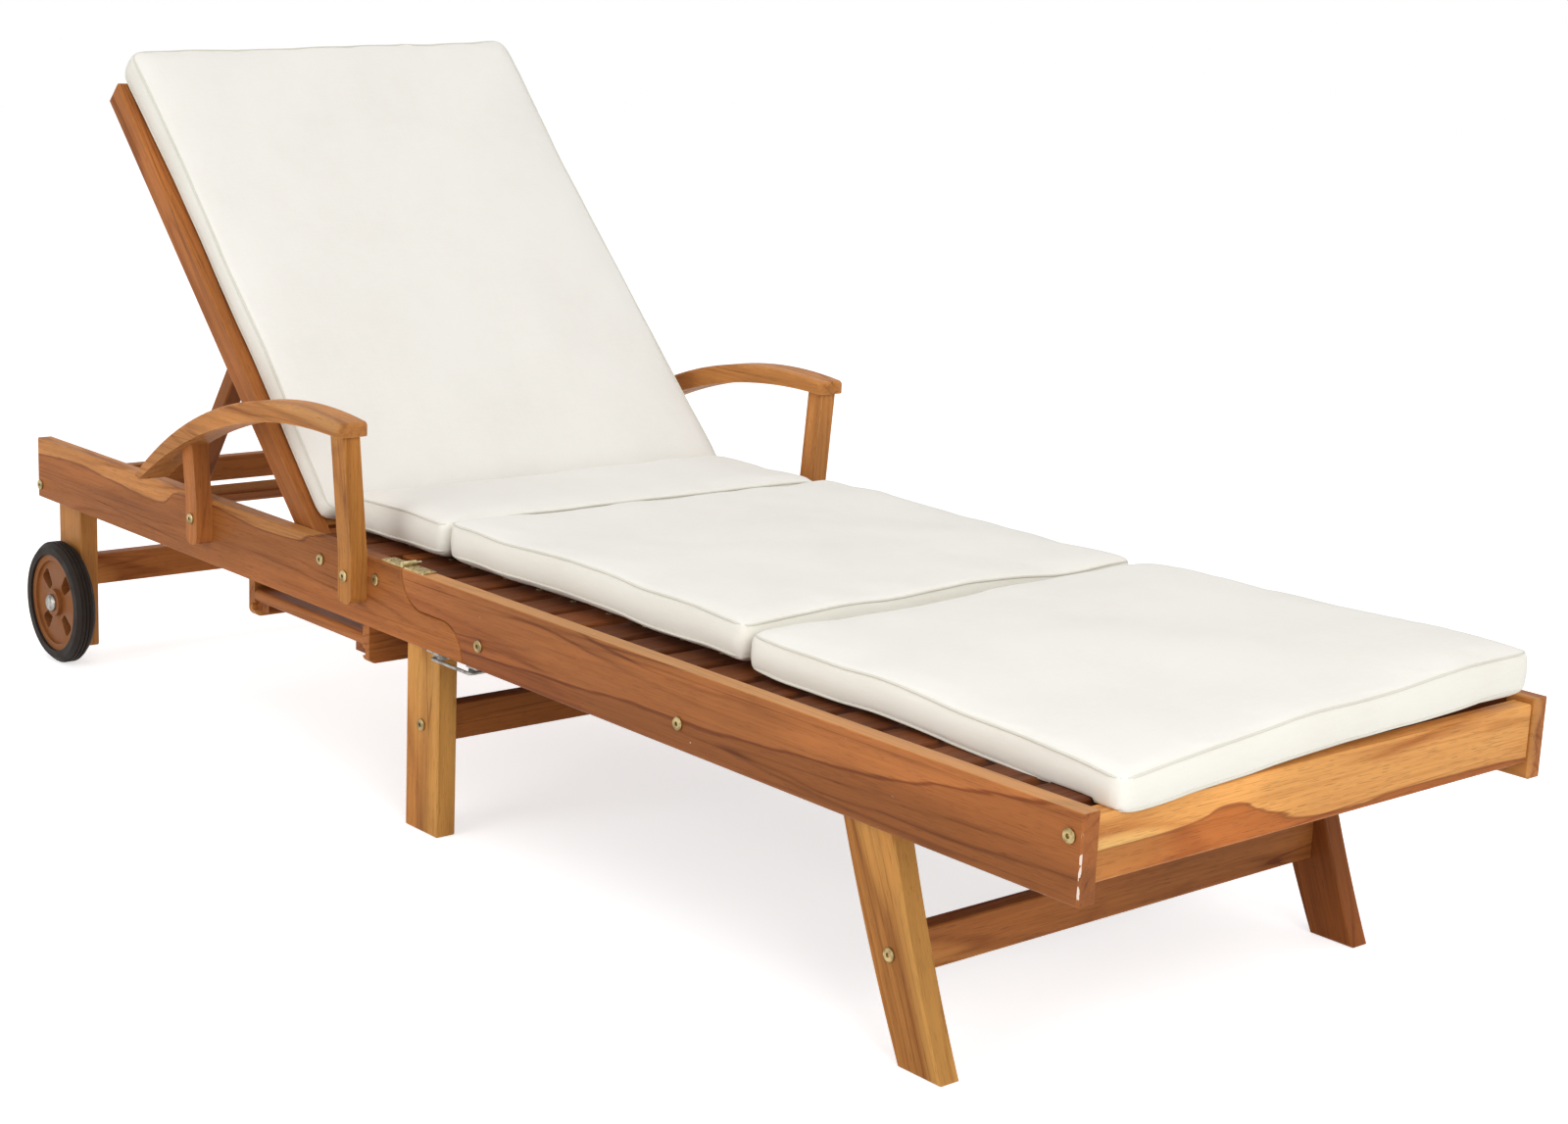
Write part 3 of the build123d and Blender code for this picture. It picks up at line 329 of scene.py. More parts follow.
    @staticmethod
    @cache
    def arris_wear_and_highlight() -> Tree:
        """A mask along the sharp edges of a piece, for pale wear and a painted highlight there, broken up
        where handling has spared them.
        """
        sketch, given, out = Effects.start(
            "arris_wear_and_highlight",
            {"Place": Kind.VECTOR, "Width": Kind.FLOAT, "Wear": Kind.FLOAT},
            {"Mask": Kind.FLOAT},
        )
        rounded = sketch.node("ShaderNodeBevel", {"Radius": given["Width"]}, samples=4).outputs[0]
        facing = sketch.node("ShaderNodeNewGeometry").outputs["True Normal"]
        edge = sketch.spread(sketch.vector("DOT_PRODUCT", rounded, facing), 0.985, 0.86)
        kept = sketch.spread(sketch.noise(given["Place"], 60.0, 3.0), 0.36, 0.60, 0.25, 1.0)
        sketch.fill(out, Mask=sketch.times(edge, kept, given["Wear"], clamp=True))
        return sketch.tree

    @staticmethod
    @cache
    def chips() -> Tree:
        """A few small pale nicks, mostly where the broad noise lets them through."""
        sketch, given, out = Effects.start(
            "chips", {"Place": Kind.VECTOR, "Amount": Kind.FLOAT}, {"Mask": Kind.FLOAT},
        )
        warped = sketch.noise(given["Place"], 300.0, 1.0, output="Color")
        nudge = sketch.vector("MULTIPLY", warped, (0.006, 0.006, 0.006))
        nudged = sketch.vector("ADD", given["Place"], nudge)
        cells = sketch.node("ShaderNodeTexVoronoi", {"Vector": nudged, "Scale": 62.0}).outputs
        speck = sketch.spread(cells["Distance"], 0.10, 0.05)
        chosen = sketch.node("ShaderNodeSeparateColor", {0: cells["Color"]}).outputs[0]
        few = sketch.spread(chosen, 0.80, 0.84)
        area = sketch.spread(sketch.noise(given["Place"], 5.0, 1.0), 0.50, 0.60)
        sketch.fill(out, Mask=sketch.times(speck, few, area, given["Amount"], clamp=True))
        return sketch.tree

    @staticmethod
    @cache
    def canvas_weave() -> Tree:
        """Crossing threads of a plain woven cover, with slubs and slow unevenness."""
        sketch, given, out = Effects.start(
            "canvas_weave",
            {"Place": Kind.VECTOR, "Threads": Kind.FLOAT},
            {"Height": Kind.FLOAT, "Shade": Kind.FLOAT},
        )
        place = given["Place"]
        rate = sketch.times(given["Threads"], 2 * math.pi)
        waves = [sketch.math("SINE", sketch.times(along, rate)) for along in sketch.split(place)]
        crossed = sketch.plus(*(sketch.times(waves[i], waves[(i + 1) % 3]) for i in range(3)))
        slubs = sketch.noise(place, (420.0, 60.0, 420.0)), sketch.noise(place, (60.0, 420.0, 420.0))
        uneven = sketch.plus(*slubs)
        broad = sketch.noise(place, 7.0, 3.0)
        sketch.fill(
            out,
            Height=sketch.plus(sketch.times(crossed, 0.4), sketch.times(uneven, 0.7)),
            Shade=sketch.plus(sketch.times(broad, 0.6), sketch.times(uneven, 0.2)),
        )
        return sketch.tree

    @staticmethod
    @cache
    def handling() -> Tree:
        """Smudges and fine scratches of metal and moulded pieces."""
        sketch, given, out = Effects.start(
            "handling",
            {"Place": Kind.VECTOR, "Size": Kind.FLOAT},
            {"Smudge": Kind.FLOAT, "Scratch": Kind.FLOAT},
        )
        inputs = {0: given["Place"], "Scale": given["Size"]}
        sized = sketch.node("ShaderNodeVectorMath", inputs, operation="SCALE").outputs[0]
        sketch.fill(
            out,
            Smudge=sketch.spread(sketch.noise(sized, 1.0, 4.0), 0.35, 0.7),
            Scratch=sketch.spread(sketch.noise(sized, (1.5, 40.0, 40.0)), 0.45, 0.7),
        )
        return sketch.tree


def fresh_material(name: str) -> tuple[Material, Sketch, Node]:
    """Starts a material with a Principled shader.

    Args:
        name: the material's name.

    Returns:
        The material, a sketch of its tree and its Principled node.
    """
    material = bpy.data.materials.new(name)
    material.use_nodes = True
    sketch = Sketch(material.node_tree)
    shader = sketch.node("ShaderNodeBsdfPrincipled")
    sketch.node("ShaderNodeOutputMaterial", {0: shader.outputs[0]})
    return material, sketch, shader


def place_on(sketch: Sketch, turn: Sequence[float] = (0.0, 0.0, 0.0)) -> Socket:
    """Object coordinates, turned in degrees."""
    source = sketch.node("ShaderNodeTexCoord").outputs["Object"]
    angles = tuple(math.radians(angle) for angle in turn)
    return sketch.node("ShaderNodeMapping", {"Vector": source, "Rotation": angles}).outputs[0]


def effect(sketch: Sketch, group: Callable[[], Tree], **inputs: object) -> Outputs:
    """Places a shared effect in a material, with its inputs by name, and returns its outputs."""
    made = sketch.node("ShaderNodeGroup", node_tree=group())
    sketch.fill(made, **inputs)
    return made.outputs


@dataclass(frozen=True)
class Repeat:
    """Boards that repeat in one node: the step between them, the first one's place and the way they run."""

    step: float
    start: float
    turn: tuple[float, float, float] = (0.0, 0.0, 0.0)

    def count(self, sketch: Sketch) -> Socket:
        """The number of the board that a place is on."""
        along = sketch.split(place_on(sketch, self.turn))[0]
        return sketch.math("FLOOR", sketch.math("DIVIDE", sketch.minus(along, self.start), self.step))


@dataclass(frozen=True)
class Heartwood:
    """Where the red heartwood of one board stops: a line of heights along the board, pale above it."""

    axis: int
    line: tuple[tuple[float, float], ...]
    tint: Colour
    rim: Colour = (0.34, 0.20, 0.14, 1.0)

    def paint(self, sketch: Sketch, raw: Socket, colour: Socket) -> Socket:
        """Darkens the heartwood and draws the thin dark line at its edge.

        Args:
            sketch: the material's sketch.
            raw: the object coordinates.
            colour: the board's colour so far.

        Returns:
            The board's colour with its heartwood.
        """
        along, heights = zip(*self.line)
        length = along[-1] - along[0]
        low, high = min(heights) - 0.01, max(heights) + 0.01
        split = sketch.split(raw)
        share = sketch.math("DIVIDE", sketch.minus(split[self.axis], along[0]), length)
        curve = sketch.node("ShaderNodeFloatCurve", {"Value": share})
        points = curve.mapping.curves[0].points
        spots = [((place - along[0]) / length, (height - low) / (high - low)) for place, height in self.line]
        for point, spot in zip((points[0], points[-1]), (spots[0], spots[-1])):
            point.location = spot
        for spot in spots[1:-1]:
            points.new(*spot)
        curve.mapping.update()
        limit = sketch.plus(sketch.times(curve.outputs[0], high - low), low)
        stretch = (7.0, 90.0, 90.0) if self.axis == 0 else (90.0, 7.0, 90.0)
        ragged = sketch.times(sketch.minus(sketch.noise(raw, stretch, 3.0), 0.5), 0.012)
        gap = sketch.minus(sketch.plus(limit, ragged), split[2])
        heart = sketch.spread(gap, -0.0010, 0.0014)
        painted = sketch.mix(heart, colour, sketch.mix(1.0, colour, self.tint, "MULTIPLY"))
        edge = sketch.spread(sketch.math("ABSOLUTE", gap), 0.0003, 0.0026, 0.75, 0.0)
        return sketch.mix(edge, painted, sketch.mix(1.0, colour, self.rim, "MULTIPLY"))


@dataclass(frozen=True)
class Teak:
    """Oiled teak in one of its tones; its top face gets a painted highlight, lighter as if lit from above,
    where the height of that face is given.
    """

    pale: Colour
    middle: Colour
    dark: Colour
    ring_step: float = 0.011
    sapwood: float = 0.5
    figure: float = 0.75
    roughness: float = 0.46
    edge_wear_and_highlight: float = 0.30
    painted_top_light: Optional[float] = None

    def material(
        self, name: str, grain: Grain, board: float, repeat: Optional[Repeat] = None, chips: float = 0.0,
        torn_corner: bool = False, heart: Optional[Heartwood] = None,
    ) -> Material:
        """Builds the finish of one board, or of a row of boards.

        Args:
            name: the material's name.
            grain: the way the grain runs.
            board: a number that gives each board its own figure.
            repeat: the step of a row of boards, each with its own figure.
            chips: how many pale nicks show.
            torn_corner: whether the front corner's arris is worn to bare white wood.
            heart: where the board's red heartwood stops.

        Returns:
            The material.
        """
        material, sketch, shader = fresh_material(name)
        count = repeat.count(sketch) if repeat else None
        wood = effect(
            sketch, Effects.teak_grain, Place=place_on(sketch, grain.value), Pale=self.pale,
            Middle=self.middle, Dark=self.dark, Ring_Step=self.ring_step, Sapwood=self.sapwood,
            Board=sketch.plus(sketch.times(count, 1.618), board) if repeat else board, Figure=self.figure,
        )
        colour = wood["Color"]
        raw = place_on(sketch)
        if repeat:
            tone = sketch.node("ShaderNodeTexWhiteNoise", {"W": count}, noise_dimensions="1D")
            colour = sketch.mix(sketch.times(tone.outputs["Value"], 0.35), colour, self.dark)
        if heart:
            colour = heart.paint(sketch, raw, colour)
        if self.painted_top_light is not None:
            # Painted light: above the given height the top face is mixed towards a pale tone, as if lit from
            # above.
            height = sketch.split(raw)[2]
            lit = sketch.spread(height, self.painted_top_light - 0.0012, self.painted_top_light - 0.0002, 0.0, 0.50)
            colour = sketch.mix(lit, colour, srgb(224, 172, 116))
        # Pale arrises: partly real wear, partly a painted highlight where the edges catch the light.
        arris = effect(sketch, Effects.arris_wear_and_highlight, Place=raw, Width=0.0022, Wear=self.edge_wear_and_highlight)
        colour = sketch.mix(arris["Mask"], colour, self.pale)
        if chips > 0:
            nicks = effect(sketch, Effects.chips, Place=raw, Amount=chips)
            colour = sketch.mix(nicks["Mask"], colour, srgb(232, 214, 190))
        if torn_corner:
            bare = sketch.times(self.corner_mask(sketch, raw), 0.85)
            colour = sketch.mix(bare, colour, srgb(236, 220, 206))
        sketch.fill(
            shader, Base_Color=colour, Roughness=sketch.plus(wood["Gloss Loss"], self.roughness),
            Specular_IOR_Level=0.13, Normal=sketch.bump(wood["Height"], 0.0005, 0.35),
        )
        return material

    @staticmethod
    def corner_mask(sketch: Sketch, raw: Socket) -> Socket:
        """The ragged strip along the front corner of the near rail, where the finish has gone."""
        low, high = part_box("foot_rail_right")
        x, y, z = sketch.split(raw)
        reach = sketch.times(sketch.spread(sketch.noise(raw, (180.0, 180.0, 70.0), 3.0), 0.14, 0.68), 0.0020)
        distance = sketch.plus(sketch.minus(high.x, x), sketch.minus(y, low.y))
        strip = sketch.math("LESS_THAN", distance, reach)
        below = sketch.spread(z, low.z + 0.068, low.z + 0.056)
        above = sketch.spread(z, low.z + 0.001, low.z + 0.006)
        return sketch.times(strip, sketch.times(below, above))


RAIL = Teak(srgb(212, 150, 82), srgb(184, 114, 58), srgb(120, 62, 26), sapwood=0.60, figure=0.45, edge_wear_and_highlight=0.40)
HEAD_RAIL = Teak(
    srgb(212, 150, 84), srgb(206, 140, 78), srgb(132, 74, 34), sapwood=0.35, figure=0.40, edge_wear_and_highlight=0.40,
)
NEAR_RAIL = Teak(
    srgb(194, 128, 72), srgb(176, 104, 54), srgb(104, 50, 22), sapwood=0.30, ring_step=0.013, figure=0.55,
    edge_wear_and_highlight=0.40, painted_top_light=0.314,
)
# Painted shade: the slats get a much darker tone for the shade they lie in under the pads.
SHADED_SLAT = Teak(srgb(142, 82, 42), srgb(112, 60, 28), srgb(70, 34, 15), sapwood=0.30, figure=0.40)
GOLD = Teak(srgb(226, 168, 90), srgb(192, 128, 62), srgb(126, 68, 28), sapwood=0.65, figure=0.35, edge_wear_and_highlight=0.40)
PALE = Teak(
    srgb(255, 206, 128), srgb(248, 178, 100), srgb(186, 110, 50), sapwood=0.8, ring_step=0.016, figure=0.45,
)
ARM = Teak(srgb(230, 174, 112), srgb(202, 136, 74), srgb(128, 70, 30), sapwood=0.7, figure=0.30, edge_wear_and_highlight=0.40)
DARK = Teak(srgb(188, 118, 58), srgb(152, 86, 38), srgb(92, 46, 18), sapwood=0.40, figure=0.45)

HEARTS = {
    "foot_end_board": Heartwood(1, (
        (-0.320, 0.274), (-0.263, 0.275), (-0.219, 0.276), (-0.180, 0.280), (-0.155, 0.286),
        (-0.139, 0.285), (-0.107, 0.274), (-0.073, 0.263), (-0.040, 0.256), (0.000, 0.252),
        (0.040, 0.251), (0.097, 0.254), (0.188, 0.254), (0.320, 0.250),
    ), (0.58, 0.38, 0.28, 1.0)),
    "foot_rail_right": Heartwood(0, (
        (-0.036, 0.243), (0.100, 0.247), (0.250, 0.252), (0.400, 0.259), (0.520, 0.262), (0.640, 0.270),
        (0.760, 0.279), (0.860, 0.296), (0.940, 0.306), (1.017, 0.318),
    ), (0.74, 0.70, 0.66, 1.0)),
    "head_rail_right": Heartwood(0, (
        (-0.983, 0.290), (-0.960, 0.292), (-0.865, 0.297), (-0.775, 0.294), (-0.698, 0.288),
        (-0.635, 0.284), (-0.593, 0.293), (-0.562, 0.309), (-0.482, 0.307), (-0.406, 0.302),
        (-0.332, 0.300), (-0.278, 0.303), (-0.225, 0.315), (-0.187, 0.320), (0.030, 0.322),
    ), (0.66, 0.52, 0.42, 1.0)),
}
CHIPPED = {"foot_rail_right": 0.85, "foot_end_board": 0.5}
TORN = "foot_rail_right"


@dataclass(frozen=True)
class Metal:
    """A plain metal with smudges and fine scratches."""

    name: str
    bright: Colour
    dull: Colour
    roughness: float
    size: float = 90.0

    def material(self) -> Material:
        """Builds the metal."""
        material, sketch, shader = fresh_material(self.name)
        marks = effect(sketch, Effects.handling, Place=place_on(sketch), Size=self.size)
        sketch.fill(
            shader, Base_Color=sketch.mix(marks["Smudge"], self.bright, self.dull), Metallic=1.0,
            Roughness=sketch.plus(sketch.times(marks["Smudge"], 0.18), self.roughness),
            Normal=sketch.bump(marks["Scratch"], 0.0001, 0.3),
        )
        return material


@dataclass(frozen=True)
class Moulded:
    """Rubber or moulded plastic with smudges of dust and pale edges, partly rubbed and partly a painted
    highlight.
    """

    name: str
    body: Colour
    dusty: Colour
    roughness: float
    dust: float
    size: float = 45.0

    def material(self) -> Material:
        """Builds the rubber or plastic."""
        material, sketch, shader = fresh_material(self.name)
        raw = place_on(sketch)
        marks = effect(sketch, Effects.handling, Place=raw, Size=self.size)
        # Pale edges: partly rubbed, partly a painted highlight along the arrises.
        arris = effect(sketch, Effects.arris_wear_and_highlight, Place=raw, Width=0.0015, Wear=0.45)
        dust = sketch.times(marks["Smudge"], self.dust)
        sketch.fill(
            shader, Roughness=sketch.plus(dust, self.roughness), Specular_IOR_Level=0.22,
            Base_Color=sketch.mix(sketch.plus(dust, arris["Mask"], clamp=True), self.body, self.dusty),
            Normal=sketch.bump(sketch.noise(raw, 900.0), 0.0002, 0.4),
        )
        return material


@dataclass(frozen=True)
class Canvas:
    """The cream woven cover of the pads."""

    name: str
    light: Colour
    shade: Colour
    threads: float = 1150.0
    roughness: float = 0.86

    def material(self, turn: float = 0.0) -> Material:
        """Builds the cloth, with its threads turned about Y in degrees."""
        material, sketch, shader = fresh_material(self.name)
        place = place_on(sketch, (0.0, turn, 0.0))
        weave = effect(sketch, Effects.canvas_weave, Place=place, Threads=self.threads)
        folds = sketch.bump(sketch.noise(place, (16.0, 16.0, 30.0), 3.0), 0.003, 0.22)
        sketch.fill(
            shader, Roughness=self.roughness, Specular_IOR_Level=0.25, Sheen_Weight=0.12, Sheen_Roughness=0.5,
            Base_Color=sketch.mix(sketch.spread(weave["Shade"], 0.38, 0.78), self.light, self.shade),
            Normal=sketch.bump(weave["Height"], 0.00025, 0.30, over=folds),
        )
        return material

    def shared(self, turn: float = 0.0) -> Material:
        """The cloth as it is in the scene already, or else built."""
        return bpy.data.materials.get(self.name) or self.material(turn)


CREAM = Canvas("cream_canvas", srgb(243, 240, 233), srgb(238, 234, 226))
CREAM_BACK = replace(CREAM, name="cream_canvas_back")
# Painted shade: the pads' side faces get a slightly darker, greyer cream for the shade on them.
SHADED_BORDER = Canvas("cream_border_shade", srgb(242, 239, 229), srgb(236, 232, 220))
# Painted shade: the piping is darker than the cover, for the shade of the creases along the seams.
SHADED_PIPING = Canvas("cream_piping_shade", srgb(226, 223, 211), srgb(212, 208, 195), threads=900.0)


def dress(node: str, material: Material) -> None:
    """Gives a CAD piece one finish all over."""
    slots = NODES[node].data.materials
    slots.clear()
    slots.append(material)


def linked(name: str, data: bpy.types.ID) -> Thing:
    """Links a mesh, a lamp or a camera to the scene as an object at the origin."""
    made = bpy.data.objects.new(name, data)
    bpy.context.scene.collection.objects.link(made)
    return made


def bake(source: Thing, name: str) -> Thing:
    """Turns the evaluated result of an object's modifiers into a plain mesh object.

    Args:
        source: the object with its live modifiers, which is removed.
        name: the new object's name.

    Returns:
        The plain mesh object.
    """
    bpy.context.view_layer.update()
    graph = bpy.context.evaluated_depsgraph_get()
    mesh = bpy.data.meshes.new_from_object(source.evaluated_get(graph), depsgraph=graph)
    mesh.name = name
    bpy.data.objects.remove(source)
    return linked(name, mesh)


class Repeater:
    """A Geometry Nodes tree for what repeats or follows a path."""

    def __init__(self, name: str, takes: dict[str, Kind]) -> None:
        """Starts a tree with a geometry in and out and the given named inputs."""
        self.tree = bpy.data.node_groups.new(name, "GeometryNodeTree")
        for side in ("INPUT", "OUTPUT"):
            add_sockets(self.tree, side, {"Geometry": Kind.GEOMETRY})
        self.ids = add_sockets(self.tree, "INPUT", takes)
        self.sketch = Sketch(self.tree)
        self.given = self.sketch.node("NodeGroupInput").outputs
        self.out = self.sketch.node("NodeGroupOutput")

    def join(self, *parts: Socket) -> Socket:
        """Joins geometries in the order given."""
        joined = self.sketch.node("GeometryNodeJoinGeometry")
        for part in parts:
            self.sketch.feed(joined.inputs[0], part)
        return joined.outputs[0]

    def painted(self, geometry: Socket, finish: Socket) -> Socket:
        """Makes instances real and gives them their material."""
        real = self.sketch.node("GeometryNodeRealizeInstances", {0: geometry})
        inputs = {"Geometry": real.outputs[0], "Material": finish}
        return self.sketch.node("GeometryNodeSetMaterial", inputs).outputs[0]

    def run(self, base: Thing, name: str, **values: object) -> Thing:
        """Runs the tree on an object and returns the result as a plain mesh object."""
        modifier = base.modifiers.new(name, "NODES")
        modifier.node_group = self.tree
        for label, value in values.items():
            modifier[self.ids[label]] = value
        return bake(base, name)


def piping_tree() -> Repeater:
    """A round cord sewn along a closed line, with an evenly turned wall."""
    tree = Repeater("piping_line", {
        "Radius": Kind.FLOAT, "Step": Kind.FLOAT, "Sides": Kind.INT, "Finish": Kind.MATERIAL,
    })
    node, given = tree.sketch.node, tree.given
    line = node("GeometryNodeMeshToCurve", {"Mesh": given["Geometry"]}).outputs[0]
    even = node("GeometryNodeResampleCurve", {"Curve": line, "Length": given["Step"]}, mode="LENGTH")
    ring = node("GeometryNodeCurvePrimitiveCircle", {"Resolution": given["Sides"], "Radius": given["Radius"]})
    tube = node("GeometryNodeCurveToMesh", {"Curve": even.outputs[0], "Profile Curve": ring.outputs[0]})
    smooth = node("GeometryNodeSetShadeSmooth", {"Geometry": tube.outputs[0]})
    tree.sketch.feed(tree.out.inputs[0], tree.painted(smooth.outputs[0], given["Finish"]))
    return tree


def screw_tree() -> Repeater:
    """Two facing rows of flat screw heads with a cross recess drawn as a dark cross of painted shade, one for
    each end of a slat.
    """
    tree = Repeater("slat_screws", {
        "First": Kind.VECTOR, "Step": Kind.VECTOR, "Count": Kind.INT, "Span": Kind.FLOAT, "Head": Kind.FLOAT,
        "Proud": Kind.FLOAT, "Seed": Kind.INT, "Finish": Kind.MATERIAL, "Recess": Kind.MATERIAL,
    })
    sketch, given = tree.sketch, tree.given
    near_row = sketch.node("GeometryNodeMeshLine", {
        "Count": given["Count"], "Start Location": given["First"], "Offset": given["Step"],
    }, mode="OFFSET").outputs[0]
    over = sketch.xyz(y=given["Span"])
    far_row = sketch.node("GeometryNodeTransform", {"Geometry": near_row, "Translation": over}).outputs[0]
    rows = tree.join(near_row, far_row)
    head = sketch.node("GeometryNodeMeshCylinder", {
        "Vertices": 20, "Side Segments": 1, "Radius": given["Head"], "Depth": given["Proud"],
    }).outputs[0]
    long, narrow = sketch.times(given["Head"], 1.15), sketch.times(given["Head"], 0.26)
    height = sketch.times(given["Proud"], 1.12)
    cross = tree.join(*(
        sketch.node("GeometryNodeMeshCube", {"Size": sketch.xyz(x, y, height)}).outputs[0]
        for x, y in ((long, narrow), (narrow, long))
    ))
    turn = sketch.node("FunctionNodeRandomValue", {"Seed": given["Seed"]}, data_type="FLOAT_VECTOR")
    for socket, most in zip(turn.inputs, (0.0, math.pi)):
        socket.default_value = (0.0, 0.0, most)
    parts = []
    for shape, finish in ((head, given["Finish"]), (cross, given["Recess"])):
        heads = sketch.node("GeometryNodeInstanceOnPoints", {
            "Points": rows, "Instance": shape, "Rotation": turn.outputs[0],
        })
        parts.append(tree.painted(heads.outputs[0], finish))
    sketch.feed(tree.out.inputs[0], tree.join(*parts))
    return tree


@dataclass
class Woodwork:
    """The frame's boards: each gets its tone, the way its grain runs and its own figure.

    A row with two tones stands for a right and a left board.
    """

    boards: tuple[tuple[str, Grain, tuple[Teak, ...]], ...] = (
        ("head_rail", Grain.LENGTHWISE, (HEAD_RAIL, RAIL)),
        ("foot_rail", Grain.LENGTHWISE, (NEAR_RAIL, RAIL)),
        ("head_end_board", Grain.ACROSS, (RAIL,)),
        ("foot_end_board", Grain.ACROSS, (PALE,)),
        ("rear_leg", Grain.UPRIGHT, (RAIL, RAIL)),
        ("mid_leg", Grain.UPRIGHT, (GOLD, DARK)),
        ("foot_leg", Grain.FOOT_LEG, (GOLD, DARK)),
        ("rear_stretcher", Grain.ACROSS, (RAIL,)),
        ("mid_stretcher", Grain.ACROSS, (DARK,)),
        ("foot_stretcher", Grain.ACROSS, (RAIL,)),
        ("seat_cross_rail", Grain.ACROSS, (DARK,)),
        ("seat_ledgers", Grain.LENGTHWISE, (DARK,)),
        ("foot_ledgers", Grain.LENGTHWISE, (DARK,)),
        ("rack", Grain.LENGTHWISE, (DARK, RAIL)),
        ("armrest", Grain.LENGTHWISE, (ARM, ARM)),
        ("arm_post_front", Grain.UPRIGHT, (GOLD, ARM)),
        ("arm_post_rear", Grain.UPRIGHT, (RAIL, RAIL)),
        ("tray_runner_front", Grain.ACROSS, (RAIL,)),
        ("tray_runner_rear", Grain.ACROSS, (RAIL,)),
        ("backrest_stile", Grain.BACK, (RAIL, RAIL)),
        ("backrest_top_rail", Grain.ACROSS, (RAIL,)),
        ("prop_leg", Grain.PROP, (DARK, RAIL)),
        ("prop_bar", Grain.ACROSS, (RAIL,)),
        ("tray_battens", Grain.ACROSS, (DARK,)),
    )

    def build(self) -> None:
        """Dresses every single board, then the rows of slats."""
        number = 0
        for row, grain, tones in self.boards:
            for side, teak in zip(("_right", "_left") if len(tones) == 2 else ("",), tones):
                node = row + side
                dress(node, teak.material(
                    f"teak_{node}", grain, 0.37 + 1.7 * number, chips=CHIPPED.get(node, 0.0),
                    torn_corner=node == TORN, heart=HEARTS.get(node),
                ))
                number += 1
                log.info("%s dressed in teak", node)
        self.slat_rows()

    def slat_rows(self) -> None:
        """Dresses the slats and the cross rails, each board of a row with its own figure."""
        rows = {
            "seat_slats": (SHADED_SLAT, Grain.ACROSS, self.seat_repeat()),
            "foot_slats": (SHADED_SLAT, Grain.ACROSS, self.repeat("foot_slats", FOOT_SLATS, SLAT_GAP)),
            "foot_cross_rails": (DARK, Grain.ACROSS, self.repeat("foot_cross_rails", 2, 0.330)),
            "backrest_slats": (RAIL, Grain.ACROSS, self.back_repeat()),
            "tray_slats": (RAIL, Grain.LENGTHWISE, self.repeat("tray_slats", 7, 0.008, across=True)),
        }
        for number, (node, (teak, grain, repeat)) in enumerate(rows.items()):
            dress(node, teak.material(f"teak_{node}", grain, 0.9 + 0.53 * number, repeat=repeat))
            log.info("%s dressed as a row of boards", node)

    @staticmethod
    def repeat(node: str, count: int, gap: float, across: bool = False) -> Repeat:
        """Works out the step of a row of boards from its box.

        Args:
            node: the CAD piece that holds the row.
            count: how many boards it has.
            gap: the gap between two boards.
            across: whether the row steps along Y.

        Returns:
            The row's step, start and turn.
        """
        low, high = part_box(node)
        axis, turn = (1, Grain.ACROSS) if across else (0, Grain.LENGTHWISE)
        return Repeat((high[axis] - low[axis] + gap) / count, low[axis] - gap / 2, turn.value)

    @staticmethod
    def seat_repeat() -> Repeat:
        """The row of the seat's slats, stepped by the two that lie behind the cross rail."""
        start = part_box("seat_slats")[0].x
        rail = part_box("seat_cross_rail")[0].x
        return Repeat((rail + SLAT_GAP / 2 - start) / 2, start - SLAT_GAP / 2)

    @staticmethod
    def back_repeat(start: float = 0.028, step: float = 0.057909) -> Repeat:
        """The row of the back's slats, counted along the raised stiles from the pivot."""
        angle = math.radians(TILT["range_deg"][1])
        along = TILT["pos_m"][0] * math.cos(angle) - TILT["pos_m"][2] * math.sin(angle)
        return Repeat(step, along - start + SLAT_GAP / 2, Grain.BACK.value)


